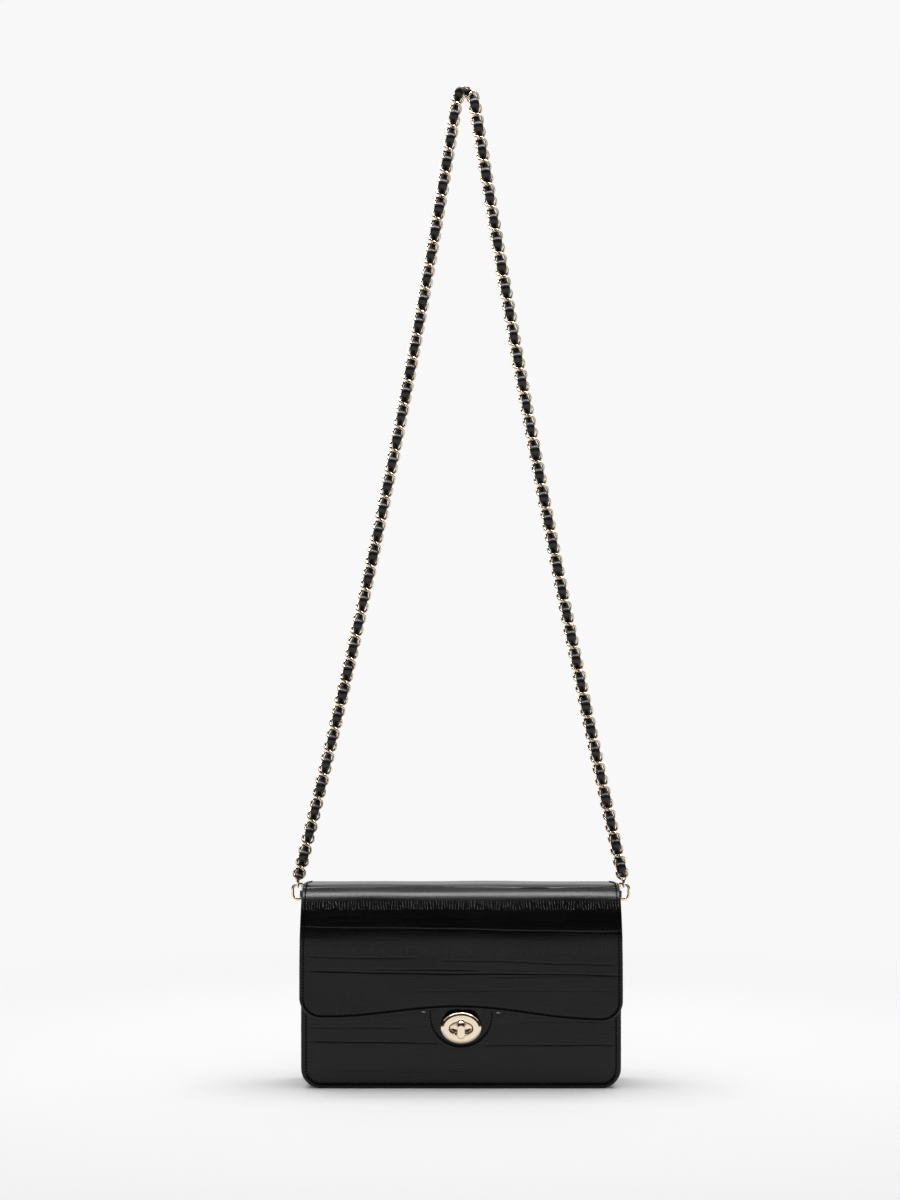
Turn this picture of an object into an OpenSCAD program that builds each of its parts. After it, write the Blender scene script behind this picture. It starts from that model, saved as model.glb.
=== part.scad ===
// A small flap shoulder bag with a turn lock and a chain strap laced with leather.
// The bag stands on its base at z = 0, its front faces -Y and its width runs along X.

/* [Bag] */
// Width of the front and back panels
bag_w = 208; // [180:1:240]
// Depth from the front panel's face to the back panel's face
bag_d = 42; // [36:1:60]
// Height of the closed bag, to the top of the flap
bag_h = 131.5; // [120:0.5:160]
// Radius of the bottom corners
corner_r = 13; // [8:1:20]
// Thickness of the outer leather
leather_t = 1.6; // [1.2:0.1:2]
// Thickness of the lining
lining_t = 0.8; // [0.5:0.1:1]
// Thickness of the gusset's leather
gusset_t = 1.4; // [1:0.1:1.8]
// Width of the gusset's edges that are turned in and stitched to the panels
seam_w = 8; // [6:0.5:10]
// Thickness of those turned edges
seam_t = 1.2; // [1:0.1:1.4]
// Thickness of the board that stiffens the base
board_t = 1.6; // [1:0.1:2.5]
// How far the mouth of the bag lies below the top of the flap
mouth_drop = 25; // [20:1:34]
// Radius of the roll where the back turns over into the flap
back_roll_r = 7; // [5:0.5:9]
// How far the leather is drawn in at each end of that roll
roll_relief = 2.5; // [1.5:0.5:3]
// Height of the slip pocket on the back lining
pocket_h = 72; // [50:1:90]
// Width of the slip pocket
pocket_w = 150; // [100:1:170]

/* [Flap] */
// Height of the roll at the front of the flap
front_roll_h = 36; // [28:1:40]
// Depth of that roll
front_roll_d = 24; // [20:1:26]
// Height of the flap's edge at its middle, above the base
flap_mid_z = 55; // [50:1:70]
// Height of the flap's edge at its lowest, near the sides
flap_low_z = 46.5; // [40:0.5:60]
// Distance from the side to the flap's lowest point
flap_low_in = 16; // [14:1:24]
// Radius of the flap's lower corners
flap_corner_r = 14; // [10:1:15]
// Radius of the round end of the lock tab
tab_r = 22.5; // [20:0.5:26]
// Height of the middle of that round end above the base
tab_z = 47; // [45:1:52]
// How far the lock tab reaches up behind the flap's edge
tab_lap = 14; // [10:1:18]
// Thickness of the lock tab's leather
tab_t = 1.4; // [1:0.1:1.6]

/* [Turn lock] */
// Height of the middle of the lock above the base
lock_z = 40.2; // [38:0.2:43]
// Width of the oval eyelet plate
eyelet_w = 26.8; // [24:0.2:30]
// Height of the oval eyelet plate
eyelet_h = 20.8; // [19:0.2:24]
// Thickness of the eyelet plate's flat rim
eyelet_t = 1.3; // [1:0.1:1.6]
// Height of the plate's bevelled top over that rim
eyelet_bevel = 0.9; // [0.6:0.1:1.2]
// Width of the oval hole
hole_w = 15.6; // [14:0.2:17]
// Height of the oval hole
hole_h = 8.7; // [8:0.1:10]
// Gap between the hole and the lock's base all round
hole_gap = 0.6; // [0.4:0.1:0.8]
// Height of the lock's base over the leather
base_proud = 3; // [2.6:0.1:3.2]
// Thickness of the wall at the front of the lock's base
base_wall = 1.2; // [1:0.1:1.4]
// Length of the knob
knob_l = 12; // [11:0.1:13]
// Width of the knob
knob_w = 5.2; // [4:0.1:6]
// Depth of the knob from its back to its front
knob_d = 3.4; // [2.6:0.1:4]
// Radius of the knob's stem
stem_r = 1.7; // [1.4:0.05:1.9]
// Radial gap round the stem
stem_gap = 0.05; // [0.03:0.01:0.08]
// Thickness of the washer on the stem
washer_t = 0.6; // [0.4:0.1:0.7]
// Radius of that washer
washer_r = 2.7; // [2.4:0.1:2.8]
// Thickness of the backing plates
backing_t = 0.5; // [0.4:0.1:0.6]

/* [Strap] */
// Height of the top of the strap above the top of the flap
strap_rise = 526; // [300:1:620]
// How far the top of the strap lies to the right of the middle
strap_lean = 3; // [-10:1:10]
// How far the left side of the strap sags inwards
sag_left = 6.5; // [0:0.5:12]
// How far the right side of the strap sags inwards
sag_right = 4.5; // [0:0.5:12]
// Spacing of the links along the strap
link_pitch = 7.9; // [7:0.1:9]
// Radius of the round ends of a link, at the middle of the wire
link_r = 3.95; // [3.6:0.05:4.3]
// Radius of the wire of a link
link_wire_r = 0.78; // [0.6:0.02:0.85]
// Angle by which each end of a link is twisted
link_twist = 30; // [26:1:34]
// Play between one link and the next
link_play = 0.3; // [0.2:0.05:0.5]
// Half of the angle that the round end of a link covers
link_half_arc = 65; // [60:1:70]
// Width of the leather lace
lace_w = 4.4; // [3.6:0.1:4.5]
// Thickness of the leather lace
lace_t = 1; // [0.8:0.1:1.1]
// Clear gap between the lace and the wires that it passes
lace_gap = 0.4; // [0.2:0.05:0.6]

/* [Strap rings] */
// How far below the top of the flap the hinge line of the strap lies
ring_drop = 2.5; // [2:0.5:6]
// Radius of the wire of a D-ring
d_wire_r = 1; // [0.8:0.05:1.1]
// Height of a D-ring, between the middles of its wires
d_ring_h = 10; // [9:0.5:12]
// Width of a D-ring, between the middles of its wires
d_ring_w = 6.4; // [6:0.1:7.5]
// Radius of the outer corners of a D-ring, at the middle of the wire
d_corner_r = 3.2; // [1.8:0.1:3.4]
// Gap between the panel's edge and the D-ring's bar
d_bar_gap = 0.6; // [0.3:0.1:0.8]
// How far along the D-ring's leg from its bar the end ring hangs
hook_x = 2.9; // [2.7:0.1:3.1]
// Radius of an end ring, at the middle of the wire
end_ring_r = 3.2; // [3:0.1:3.6]
// Radius of the wire of an end ring
end_wire_r = 0.8; // [0.7:0.05:0.85]
// Play between the end ring and what it joins
end_play = 0.1; // [0.05:0.05:0.2]
// Length of the leather tab that goes into the side seam
ring_tab_in = 9; // [8:0.5:12]
// Thickness of one layer of the tab's leather
ring_tab_t = 0.6; // [0.5:0.05:0.6]
// Height of the tab
ring_tab_h = 4; // [4:0.5:5.5]

/* [Hidden] */

$fn = 48;
// Overrun of every cut
cut = 1;
// Slope of the flap from the vertical at its front fold
fold_slope = 30;
// Gap between leather pieces that meet at a fold
fold_gap = 0.3;
// Gap between soft faces that slide past each other
slide_gap = 0.3;
// Gap between a pin or prong and its slot
fit_gap = 0.1;
// Radius of the small corners at the top of the panels
top_corner_r = 3;
// How far a lining stays inside the edge of the mouth
lining_drop = 1;
// Width of the sewn edge of the slip pocket
pocket_seam = 4;
// Distance of a prong from the middle of the lock, its width and its thickness
prong_x = 5.2;
prong_w = 2.6;
prong_t = 0.6;
// Radius of the lock's backing plate
backing_r = 9;
// How far the eyelet's backing plate stays inside the eyelet plate
backing_inset = 1.6;
// Thickness of the click spring and the depth of its bow
spring_t = 0.3;
spring_bow = 0.35;
// Edge radius of the knob
knob_round = 0.9;
// Share of its rim's size that the eyelet plate's front face has
bevel_share = 0.86;
// Number of points of an oval and of a wavy edge
oval_points = 48;
edge_points = 24;
// Number of rings of the lace in each link
lace_steps = 4;
// How far the links beside the top one lean outwards
shoulder = 1;

metal = "#e3cda4";
outer_leather = "#222222";
inner_leather = "#2b2825";
edge_leather = "#1c1a19";
board_grey = "#8a8378";

half_w = bag_w / 2;
front_y = -bag_d / 2;
back_y = bag_d / 2;
mouth_z = bag_h - mouth_drop;
hinge_y = back_y - back_roll_r;
roll_z = bag_h - back_roll_r;

// The flap's layers hang in front of the panel, the lock tab and its backing behind them
tab_back_y = front_y - slide_gap - backing_t;
tab_front_y = tab_back_y - tab_t;
flap_y = tab_front_y - lining_t - leather_t;

// The front roll is a wide arc up to the fold and a tighter one over the top.
// Both meet there at the same slope, which with the roll's height and depth gives their radii.
fold_sin = sin(fold_slope);
fold_cos = cos(fold_slope);
low_r = (front_roll_h * fold_cos - front_roll_d * (1 - fold_sin)) / (fold_sin + fold_cos - 1);
high_r = (front_roll_d * fold_sin - front_roll_h * (1 - fold_cos)) / (fold_sin + fold_cos - 1);
low_middle = [flap_y + low_r, bag_h - front_roll_h];
high_middle = [flap_y + front_roll_d, bag_h - high_r];
fold_y = high_middle[0] - high_r * fold_cos;
fold_z = high_middle[1] + high_r * fold_sin;

base_front_y = front_y - base_proud;
eyelet_front_y = tab_front_y - eyelet_t - eyelet_bevel;
knob_back_y = min(eyelet_front_y, base_front_y) - slide_gap;

// The strap's rings lie in the seam between the back panel and the gusset
ring_y = back_y - leather_t - ring_tab_t;
bar_x = half_w + d_bar_gap + d_wire_r;
hook_z = bag_h - ring_drop;
strap_x = bar_x + hook_x;
d_mid_z = hook_z - d_ring_h / 2;
ring_tab_z = roll_z - ring_tab_h / 2;
end_ring_z = hook_z - d_wire_r - end_wire_r - end_play + end_ring_r;

strap_top_z = bag_h + strap_rise;
leg_end_z = end_ring_z + end_ring_r - end_wire_r - link_play / 2;
side_h = link_pitch + link_play - 2 * (link_r - link_wire_r);

// The two sides of the strap as lists of the points where links meet, from the top down
function leg_top(side) = [strap_lean + side * (link_pitch / 2 + shoulder), strap_top_z];
function leg_end(side) = [side * strap_x, leg_end_z];
function leg_links(side) = round(norm(leg_end(side) - leg_top(side)) / link_pitch);
function leg_point(side, sag, u) =
  leg_top(side) + u * (leg_end(side) - leg_top(side)) - [side * 4 * sag * u * (1 - u), 0];
function leg(side, sag) = let (n = leg_links(side)) [
  [strap_lean + side * link_pitch / 2, strap_top_z],
  for (k = [1 : n]) leg_point(side, sag, k / n)
];
left_leg = leg(-1, sag_left);
right_leg = leg(1, sag_right);
function reversed(list) = [for (i = [len(list) - 1 : -1 : 0]) list[i]];
strap_points = concat(reversed(left_leg), right_leg);

// Outlines, drawn in X and Z

module panel_outline(w, low_z, top_z, r) {
  translate([-w / 2, low_z + r]) square([w, top_z - low_z - r - top_corner_r]);
  translate([-w / 2 + r, low_z]) square([w - 2 * r, r]);
  translate([-w / 2 + top_corner_r, top_z - top_corner_r]) square([w - 2 * top_corner_r, top_corner_r]);
  for (side = [-1, 1]) {
    translate([side * (w / 2 - r), low_z + r]) circle(r);
    translate([side * (w / 2 - top_corner_r), top_z - top_corner_r]) circle(top_corner_r);
  }
}

// A band that runs down one side, along the base and up the other
module u_outline(inset, band, low_z, low_band, top_z) {
  difference() {
    u_shape(bag_w - 2 * inset, low_z, corner_r - inset, top_z);
    u_shape(bag_w - 2 * (inset + band), low_z + low_band, corner_r - inset - band, top_z + cut);
  }
}

module u_shape(w, low_z, r, top_z) {
  translate([-w / 2, low_z + r]) square([w, top_z - low_z - r]);
  translate([-w / 2 + r, low_z]) square([w - 2 * r, r + cut]);
  for (side = [-1, 1]) translate([side * (w / 2 - r), low_z + r]) circle(r);
}

// Sets an outline that is drawn in X and Z upright, from y0 to y1
module upright(y0, y1) {
  translate([0, y1, 0]) rotate([90, 0, 0]) linear_extrude(y1 - y0) children();
}

// Sets a profile that is drawn in Y and Z across the bag
module across(w) {
  translate([-w / 2, 0, 0]) rotate([90, 0, 90]) linear_extrude(w) children();
}

function oval(w, h) = [
  for (i = [0 : oval_points - 1]) let (a = 360 * i / oval_points) [w / 2 * cos(a), h / 2 * sin(a)]
];

// Bag body

module front_panel() {
  color(outer_leather) difference() {
    upright(front_y, front_y + leather_t) panel_outline(bag_w, 0, mouth_z, corner_r);
    for (side = [-1, 1]) prong(side, fit_gap, front_y - cut, front_y + leather_t + cut);
  }
}

module back_roll(r, t, w) {
  across(w) intersection() {
    translate([hinge_y, roll_z]) difference() {
      circle(r);
      circle(r - t);
    }
    translate([hinge_y + fold_gap / 2, roll_z]) square([back_roll_r + cut, back_roll_r + cut]);
  }
}

module back_panel() {
  color(outer_leather) {
    upright(back_y - leather_t, back_y) panel_outline(bag_w, 0, roll_z, corner_r);
    back_roll(back_roll_r, leather_t, bag_w - 2 * roll_relief);
  }
}

module gusset() {
  color(edge_leather) difference() {
    union() {
      upright(front_y + leather_t, back_y - leather_t) u_outline(0, gusset_t, 0, gusset_t, roll_z);
      upright(front_y + leather_t, front_y + leather_t + seam_t) u_outline(0, seam_w, 0, seam_w, mouth_z);
      upright(back_lining_y, back_y - leather_t) u_outline(0, seam_w, 0, seam_w, roll_z);
    }
    for (side = [-1, 1]) tab_slot(side);
    across(bag_w + 2 * cut) gusset_slope();
  }
}

// What is cut off so that the gusset's top edge rises from the mouth to the back roll
module gusset_slope() {
  polygon([
    [front_y, mouth_z], [front_y + leather_t + seam_t, mouth_z], [back_lining_y, roll_z],
    [back_lining_y, roll_z + cut], [front_y, roll_z + cut]
  ]);
}

module front_lining() {
  color(inner_leather)
    upright(front_y + leather_t + seam_t, front_y + leather_t + seam_t + lining_t)
      panel_outline(bag_w - 2 * gusset_t, gusset_t + board_t, mouth_z - lining_drop, corner_r - gusset_t);
}

back_lining_y = back_y - leather_t - 2 * ring_tab_t - seam_t;

module back_lining() {
  lining_w = bag_w - 2 * (gusset_t + lining_t);
  color(inner_leather) {
    upright(back_lining_y - lining_t, back_lining_y)
      panel_outline(bag_w - 2 * gusset_t, gusset_t + board_t, roll_z, corner_r - gusset_t);
    across(lining_w) translate([0, roll_z]) back_lining_profile();
  }
}

// The lining goes up to the roll, back to the leather and over under the roll
module back_lining_profile() {
  front = back_lining_y - lining_t;
  r = back_roll_r - leather_t - fit_gap;
  translate([front, -top_corner_r]) square([lining_t, top_corner_r + lining_t]);
  translate([front, 0]) square([hinge_y + r - lining_t / 2 - front, lining_t]);
  intersection() {
    translate([hinge_y, 0]) difference() {
      circle(r);
      circle(r - lining_t);
    }
    translate([hinge_y + fold_gap / 2, 0]) square([r, r]);
  }
}

module gusset_lining() {
  color(inner_leather)
    upright(front_y + leather_t + seam_t + lining_t, back_lining_y - lining_t)
      u_outline(gusset_t, lining_t, gusset_t + board_t, lining_t, mouth_z - lining_drop);
}

module slip_pocket() {
  low_z = (mouth_z - pocket_h) / 2;
  y = back_lining_y - lining_t;
  color(inner_leather) {
    upright(y - 2 * lining_t, y - lining_t) pocket_shape(low_z);
    upright(y - lining_t, y) difference() {
      pocket_shape(low_z);
      translate([-pocket_w / 2 + pocket_seam, low_z + pocket_seam])
        square([pocket_w - 2 * pocket_seam, pocket_h]);
    }
  }
}

module pocket_shape(low_z) {
  translate([-pocket_w / 2, low_z]) square([pocket_w, pocket_h]);
}

module base_board() {
  board_w = bag_w - 2 * corner_r;
  y0 = front_y + leather_t + seam_t;
  color(board_grey)
    translate([-board_w / 2, y0, gusset_t]) cube([board_w, back_lining_y - y0, board_t]);
}

// Rings at the side seams

module tab_slot(side) {
  translate([side * (half_w - ring_tab_in / 2 + cut / 2), ring_y, ring_tab_z])
    cube([ring_tab_in + cut, 2 * ring_tab_t, ring_tab_h], center = true);
}

module ring_tab(side) {
  bore_r = d_wire_r + fit_gap / 2;
  color(edge_leather) translate([0, ring_y, ring_tab_z]) difference() {
    union() {
      translate([side * (half_w - ring_tab_in), 0, 0])
        translate([side * (ring_tab_in + bar_x - half_w) / 2, 0, 0])
          cube([ring_tab_in + bar_x - half_w, 2 * ring_tab_t, ring_tab_h], center = true);
      translate([side * bar_x, 0, 0]) cylinder(r = bore_r + ring_tab_t, h = ring_tab_h, center = true);
    }
    translate([side * bar_x, 0, 0]) cylinder(r = bore_r, h = ring_tab_h + 2 * cut, center = true);
  }
}

module d_ring(side) {
  leg_l = d_ring_w - d_corner_r;
  wall_h = d_ring_h - 2 * d_corner_r;
  color(metal) translate([side * bar_x, ring_y, d_mid_z]) mirror([side < 0 ? 1 : 0, 0, 0]) {
    cylinder(r = d_wire_r, h = d_ring_h, center = true);
    for (up = [-1, 1]) {
      translate([0, 0, up * d_ring_h / 2]) {
        sphere(d_wire_r);
        rotate([0, 90, 0]) cylinder(r = d_wire_r, h = leg_l);
      }
      translate([leg_l, 0, up * wall_h / 2]) rotate([90, 0, 0])
        rotate([0, 0, up > 0 ? 0 : -90]) rotate_extrude(angle = 90) translate([d_corner_r, 0]) circle(d_wire_r);
    }
    translate([d_ring_w, 0, 0]) cylinder(r = d_wire_r, h = wall_h, center = true);
  }
}

module end_ring(side) {
  color(metal) translate([side * strap_x, ring_y, end_ring_z]) rotate([0, 90, 0])
    rotate_extrude() translate([end_ring_r, 0]) circle(end_wire_r);
}

// Turn lock

module prong(side, gap, y0, y1) {
  w = prong_w + 2 * gap;
  t = prong_t + 2 * gap;
  translate([side * prong_x - t / 2, y0, lock_z - w / 2]) cube([t, y1 - y0, w]);
}

module lock_base() {
  spring_y = base_front_y + base_wall;
  color(metal) {
    difference() {
      upright(base_front_y, front_y) translate([0, lock_z])
        polygon(oval(hole_w - 2 * hole_gap, hole_h - 2 * hole_gap));
      turned(base_front_y - cut, front_y + cut) circle(stem_r + stem_gap);
      turned(spring_y, front_y + cut) circle(washer_r + fit_gap);
    }
    for (side = [-1, 1]) prong(side, 0, front_y, front_y + leather_t + backing_t);
  }
}

// A round shape on the lock's axis, from y0 to y1
module turned(y0, y1) {
  translate([0, y1, lock_z]) rotate([90, 0, 0]) linear_extrude(y1 - y0) children();
}

module lock_backing() {
  color(metal) difference() {
    turned(front_y + leather_t, front_y + leather_t + backing_t) circle(backing_r);
    for (side = [-1, 1]) prong(side, fit_gap, front_y, back_y);
  }
}

spring_front_y = base_front_y + base_wall + fit_gap;
washer_y = spring_front_y + spring_t + spring_bow + fit_gap;

// A bowed washer: a flat ring with a second ring behind it
module click_spring() {
  ring_r = (washer_r + stem_r) / 2;
  color(metal) {
    turned(spring_front_y, spring_front_y + spring_t) spring_ring(washer_r, stem_r + fit_gap);
    turned(spring_front_y + spring_t, spring_front_y + spring_t + spring_bow)
      spring_ring(ring_r, stem_r + fit_gap);
  }
}

module spring_ring(r_out, r_in) {
  difference() {
    circle(r_out);
    circle(r_in);
  }
}

module toggle_knob() {
  color(metal) {
    turned(knob_back_y, washer_y + washer_t) circle(stem_r);
    translate([0, knob_back_y - knob_d, lock_z]) knob_body();
  }
}

// A bar with round ends, its front edge softened
module knob_body() {
  run = knob_l - knob_w;
  rotate([-90, 0, 0]) {
    translate([0, 0, knob_round]) linear_extrude(knob_d - knob_round) knob_outline(run, knob_w / 2);
    linear_extrude(knob_round) knob_outline(run, knob_w / 2 - knob_round);
    for (end = [-1, 1]) translate([0, end * run / 2, knob_round])
      rotate_extrude() translate([knob_w / 2 - knob_round, 0]) circle(knob_round);
    for (side = [-1, 1]) translate([side * (knob_w / 2 - knob_round), -run / 2, knob_round])
      rotate([-90, 0, 0]) cylinder(r = knob_round, h = run);
  }
}

module knob_outline(run, r) {
  translate([-r, -run / 2]) square([2 * r, run]);
  for (end = [-1, 1]) translate([0, end * run / 2]) circle(r);
}

module toggle_washer() {
  color(metal) turned(washer_y, washer_y + washer_t) spring_ring(washer_r, stem_r);
}

// Flap

// The profile of a layer of the flap, this deep under its face: its flat top and the upper arc of the roll
module flap_top_profile(depth, t) {
  translate([high_middle[0], bag_h - depth - t]) square([hinge_y - fold_gap / 2 - high_middle[0], t]);
  roll_arc(high_middle, high_r - depth, t, -1, 90 - fold_slope);
}

// One arc of the roll, from the fold over this many degrees, cut back a little at the fold.
// half is -1 for the upper arc and 1 for the lower one.
module roll_arc(middle, r, t, half, span) {
  near = fold_gap / 2;
  far = 2 * r;
  translate(middle) intersection() {
    difference() {
      circle(r);
      circle(r - t);
    }
    rotate([0, 0, 180 - fold_slope])
      polygon([[near / tan(span), half * near], [far, half * near], [far, half * far * tan(span)]]);
  }
}

module flap_top() {
  color(outer_leather) intersection() {
    across(bag_w) flap_top_profile(0, leather_t);
    linear_extrude(2 * bag_h) flap_plan(0);
  }
}

// The flap seen from above: drawn in where it meets the back's roll
module flap_plan(inset) {
  far_y = flap_y - cut;
  back_x = half_w - roll_relief - inset;
  front_x = half_w - inset;
  polygon([
    [-back_x, hinge_y], [-front_x, hinge_y - back_roll_r], [-front_x, far_y],
    [front_x, far_y], [front_x, hinge_y - back_roll_r], [back_x, hinge_y]
  ]);
}

module flap_top_lining() {
  color(inner_leather) intersection() {
    across(bag_w) flap_top_profile(leather_t, lining_t);
    linear_extrude(2 * bag_h) flap_plan(lining_t);
  }
}

// Height of the flap's wavy edge at x
function edge_z(x) =
  let (u = min(1, abs(x) / (half_w - flap_low_in)))
  flap_low_z + (flap_mid_z - flap_low_z) * (1 + cos(180 * u)) / 2;

module flap_outline(inset) {
  wave_w = bag_w - 2 * flap_low_in;
  edge = [for (i = [0 : edge_points]) let (x = -wave_w / 2 + wave_w * i / edge_points) [x, edge_z(x) + inset]];
  polygon(concat([[-wave_w / 2, low_middle[1]]], edge, [[wave_w / 2, low_middle[1]]]));
  r = flap_corner_r - inset;
  for (side = [-1, 1]) {
    translate([side * (half_w - flap_corner_r), flap_low_z + flap_corner_r]) circle(r);
    x0 = side > 0 ? wave_w / 2 - cut : -half_w + inset;
    translate([x0, flap_low_z + flap_corner_r])
      square([flap_low_in + cut - inset, low_middle[1] - flap_low_z - flap_corner_r]);
    x1 = side > 0 ? wave_w / 2 - cut : -half_w + flap_corner_r;
    translate([x1, flap_low_z + inset]) square([flap_low_in - flap_corner_r + cut, flap_corner_r]);
  }
}

module flap_front_layer(depth, t, inset) {
  across(bag_w - 2 * inset) roll_arc(low_middle, low_r - depth, t, 1, fold_slope);
  upright(flap_y + depth, flap_y + depth + t) flap_outline(inset);
}

module flap_front() {
  color(outer_leather) flap_front_layer(0, leather_t, 0);
}

module flap_front_lining() {
  color(inner_leather) flap_front_layer(leather_t, lining_t, lining_t);
}

module lock_tab() {
  color(outer_leather) upright(tab_front_y, tab_back_y) difference() {
    union() {
      translate([0, tab_z]) circle(tab_r);
      translate([-tab_r, tab_z]) square([2 * tab_r, flap_mid_z + tab_lap - tab_z]);
    }
    translate([0, lock_z]) polygon(oval(hole_w, hole_h));
  }
}

module eyelet_plate() {
  color(metal) translate([0, tab_front_y, lock_z]) rotate([90, 0, 0]) difference() {
    union() {
      linear_extrude(eyelet_t) polygon(oval(eyelet_w, eyelet_h));
      translate([0, 0, eyelet_t]) linear_extrude(eyelet_bevel, scale = bevel_share)
        polygon(oval(eyelet_w, eyelet_h));
    }
    translate([0, 0, -cut]) linear_extrude(eyelet_t + eyelet_bevel + 2 * cut) polygon(oval(hole_w, hole_h));
  }
}

module eyelet_backing() {
  color(metal) upright(tab_back_y, tab_back_y + backing_t) translate([0, lock_z]) difference() {
    polygon(oval(eyelet_w - 2 * backing_inset, eyelet_h - 2 * backing_inset));
    polygon(oval(hole_w, hole_h));
  }
}

// Strap

// A point where the round end of a link goes over into its straight side
function elbow(up, side) = link_r * [
  side * sin(link_half_arc) * cos(link_twist),
  up * side * sin(link_half_arc) * sin(link_twist),
  up * cos(link_half_arc)
] + [0, 0, up * side_h / 2];

module rod(from, to) {
  way = to - from;
  length = norm(way);
  over = link_wire_r * tan(link_half_arc / 3);
  translate(from - way / length * over)
    rotate([0, acos(way[2] / length), atan2(way[1], way[0])])
      cylinder(r = link_wire_r, h = length + 2 * over);
}

module link_end() {
  translate([0, 0, side_h / 2]) rotate([90, 0, link_twist]) rotate([0, 0, 90 - link_half_arc])
    rotate_extrude(angle = 2 * link_half_arc) translate([link_r, 0]) circle(link_wire_r);
}

// A curb link along Z: its two round ends are twisted opposite ways
module curb_link() {
  link_end();
  rotate([180, 0, 0]) link_end();
  for (side = [-1, 1]) rod(elbow(1, side), elbow(-1, side));
}

module link_between(a, b) {
  way = b - a;
  mid = (a + b) / 2;
  translate([mid[0], ring_y, mid[1]]) rotate([0, atan2(way[0], way[1]), 0]) curb_link();
}

module chain(points) {
  color(metal) for (k = [0 : len(points) - 2]) link_between(points[k], points[k + 1]);
}

// The top link bends sharply to its two neighbours, so the three are one piece, in the left chain
function from(list, start) = [for (i = [start : len(list) - 1]) list[i]];
module chain_left() chain(concat([right_leg[1], right_leg[0]], left_leg));
module chain_right() chain(from(right_leg, 1));

// The lace runs from one end of the strap to the other, over one joint and under the next
// It clears the wires at the angle of the round end where the lace's edge crosses them
lace_cross = asin(lace_w / 2 / (link_r * cos(link_twist)));
lace_swing = link_r * sin(lace_cross) * sin(link_twist) + link_wire_r + lace_gap + lace_t / 2;
lace_links = len(strap_points) - 1;

function lace_xz(t) =
  let (k = min(floor(t), lace_links - 1)) strap_points[k] + (t - k) * (strap_points[k + 1] - strap_points[k]);
function lace_point(t) = let (p = lace_xz(t)) [p[0], ring_y - lace_swing * cos(180 * t), p[1]];
function lace_way(t, step) =
  let (d = lace_xz(min(t + step, lace_links)) - lace_xz(max(t - step, 0))) d / norm(d);

// The four corners of the lace's section at t
function lace_ring(t) =
  let (
    step = 1 / lace_steps,
    d = lace_way(t, step / 2),
    rise = lace_swing * sin(180 * t) * PI / link_pitch,
    along = [d[0], rise, d[1]] / norm([1, rise]),
    wide = [d[1], 0, -d[0]] * lace_w / 2,
    thick = cross(along, wide) / (lace_w / 2) * lace_t / 2,
    c = lace_point(t)
  )
  [c - wide - thick, c + wide - thick, c + wide + thick, c - wide + thick];

// Where the lace runs, in links from the left end. It is parted beside the top link,
// where the bend leaves it no room between the wires.
top_start = len(left_leg) - 1;
lace_end = 1 / 2;
lace_runs = [
  [lace_end, top_start - 3 / lace_steps], [top_start, top_start + 1],
  [top_start + 1 + 2 / lace_steps, lace_links - lace_end]
];

module lace() {
  color(inner_leather) for (run = lace_runs) lace_run(run[0], run[1]);
}

module lace_run(first, last) {
  rings = round((last - first) * lace_steps);
  points = [for (i = [0 : rings]) each lace_ring(first + i / lace_steps)];
  sides = [
    for (i = [0 : rings - 1]) for (j = [0 : 3])
      let (a = 4 * i + j, b = 4 * i + (j + 1) % 4)
      each [[a, b, b + 4], [a, b + 4, a + 4]]
  ];
  end = 4 * rings;
  polyhedron(points, concat([[3, 2, 1, 0]], sides, [[end, end + 1, end + 2, end + 3]]));
}

front_panel();
back_panel();
gusset();
front_lining();
back_lining();
gusset_lining();
slip_pocket();
base_board();
ring_tab(-1);  // ring_tab_left
ring_tab(1);  // ring_tab_right
d_ring(-1);  // d_ring_left
d_ring(1);  // d_ring_right
lock_base();
lock_backing();
click_spring();
toggle_knob();
toggle_washer();
flap_top();
flap_top_lining();
flap_front();
flap_front_lining();
lock_tab();
eyelet_plate();
eyelet_backing();
chain_left();
chain_right();
lace();
end_ring(-1);  // end_ring_left
end_ring(1);  // end_ring_right
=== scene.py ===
# %% [markdown]
# # A flap shoulder bag with a laced chain strap
# The packed model is the frame of this scene: it holds the bodies, the joints and every
# node at its true size. Its stiff metal parts are kept and get a finish. Its leather and
# cloth are replaced here by softer forms that follow the same sizes. Everything is worked
# out in millimetres, as a leather worker would, and turned into metres when a mesh is made.

# %% Load the frame
import math

import bpy
import numpy as np
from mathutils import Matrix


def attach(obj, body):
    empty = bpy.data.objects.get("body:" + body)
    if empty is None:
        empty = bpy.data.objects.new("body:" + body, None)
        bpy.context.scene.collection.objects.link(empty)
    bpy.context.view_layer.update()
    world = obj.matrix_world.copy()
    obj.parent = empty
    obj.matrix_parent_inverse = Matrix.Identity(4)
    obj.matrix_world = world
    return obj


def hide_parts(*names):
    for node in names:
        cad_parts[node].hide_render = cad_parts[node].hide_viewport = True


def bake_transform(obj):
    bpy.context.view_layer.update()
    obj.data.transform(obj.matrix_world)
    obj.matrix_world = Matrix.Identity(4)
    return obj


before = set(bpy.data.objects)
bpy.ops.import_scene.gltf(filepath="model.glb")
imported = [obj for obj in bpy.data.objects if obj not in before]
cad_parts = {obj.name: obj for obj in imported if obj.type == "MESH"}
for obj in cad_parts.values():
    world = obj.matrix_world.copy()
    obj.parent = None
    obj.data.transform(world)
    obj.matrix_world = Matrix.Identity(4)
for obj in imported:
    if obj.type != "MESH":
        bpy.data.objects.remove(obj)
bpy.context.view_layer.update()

MM = 0.001

def link_up(item):
    """Puts a new object in the scene."""
    bpy.context.scene.collection.objects.link(item)
    return item

# %% [markdown]
# ## Camera
# The bag was photographed from the height of its strap, so its top shows as a thin band.
# The view is level and far away, which keeps the sides of the bag upright. A vertical
# sensor fit ties the lens to the height of the picture, whatever size it is rendered at.

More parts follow.
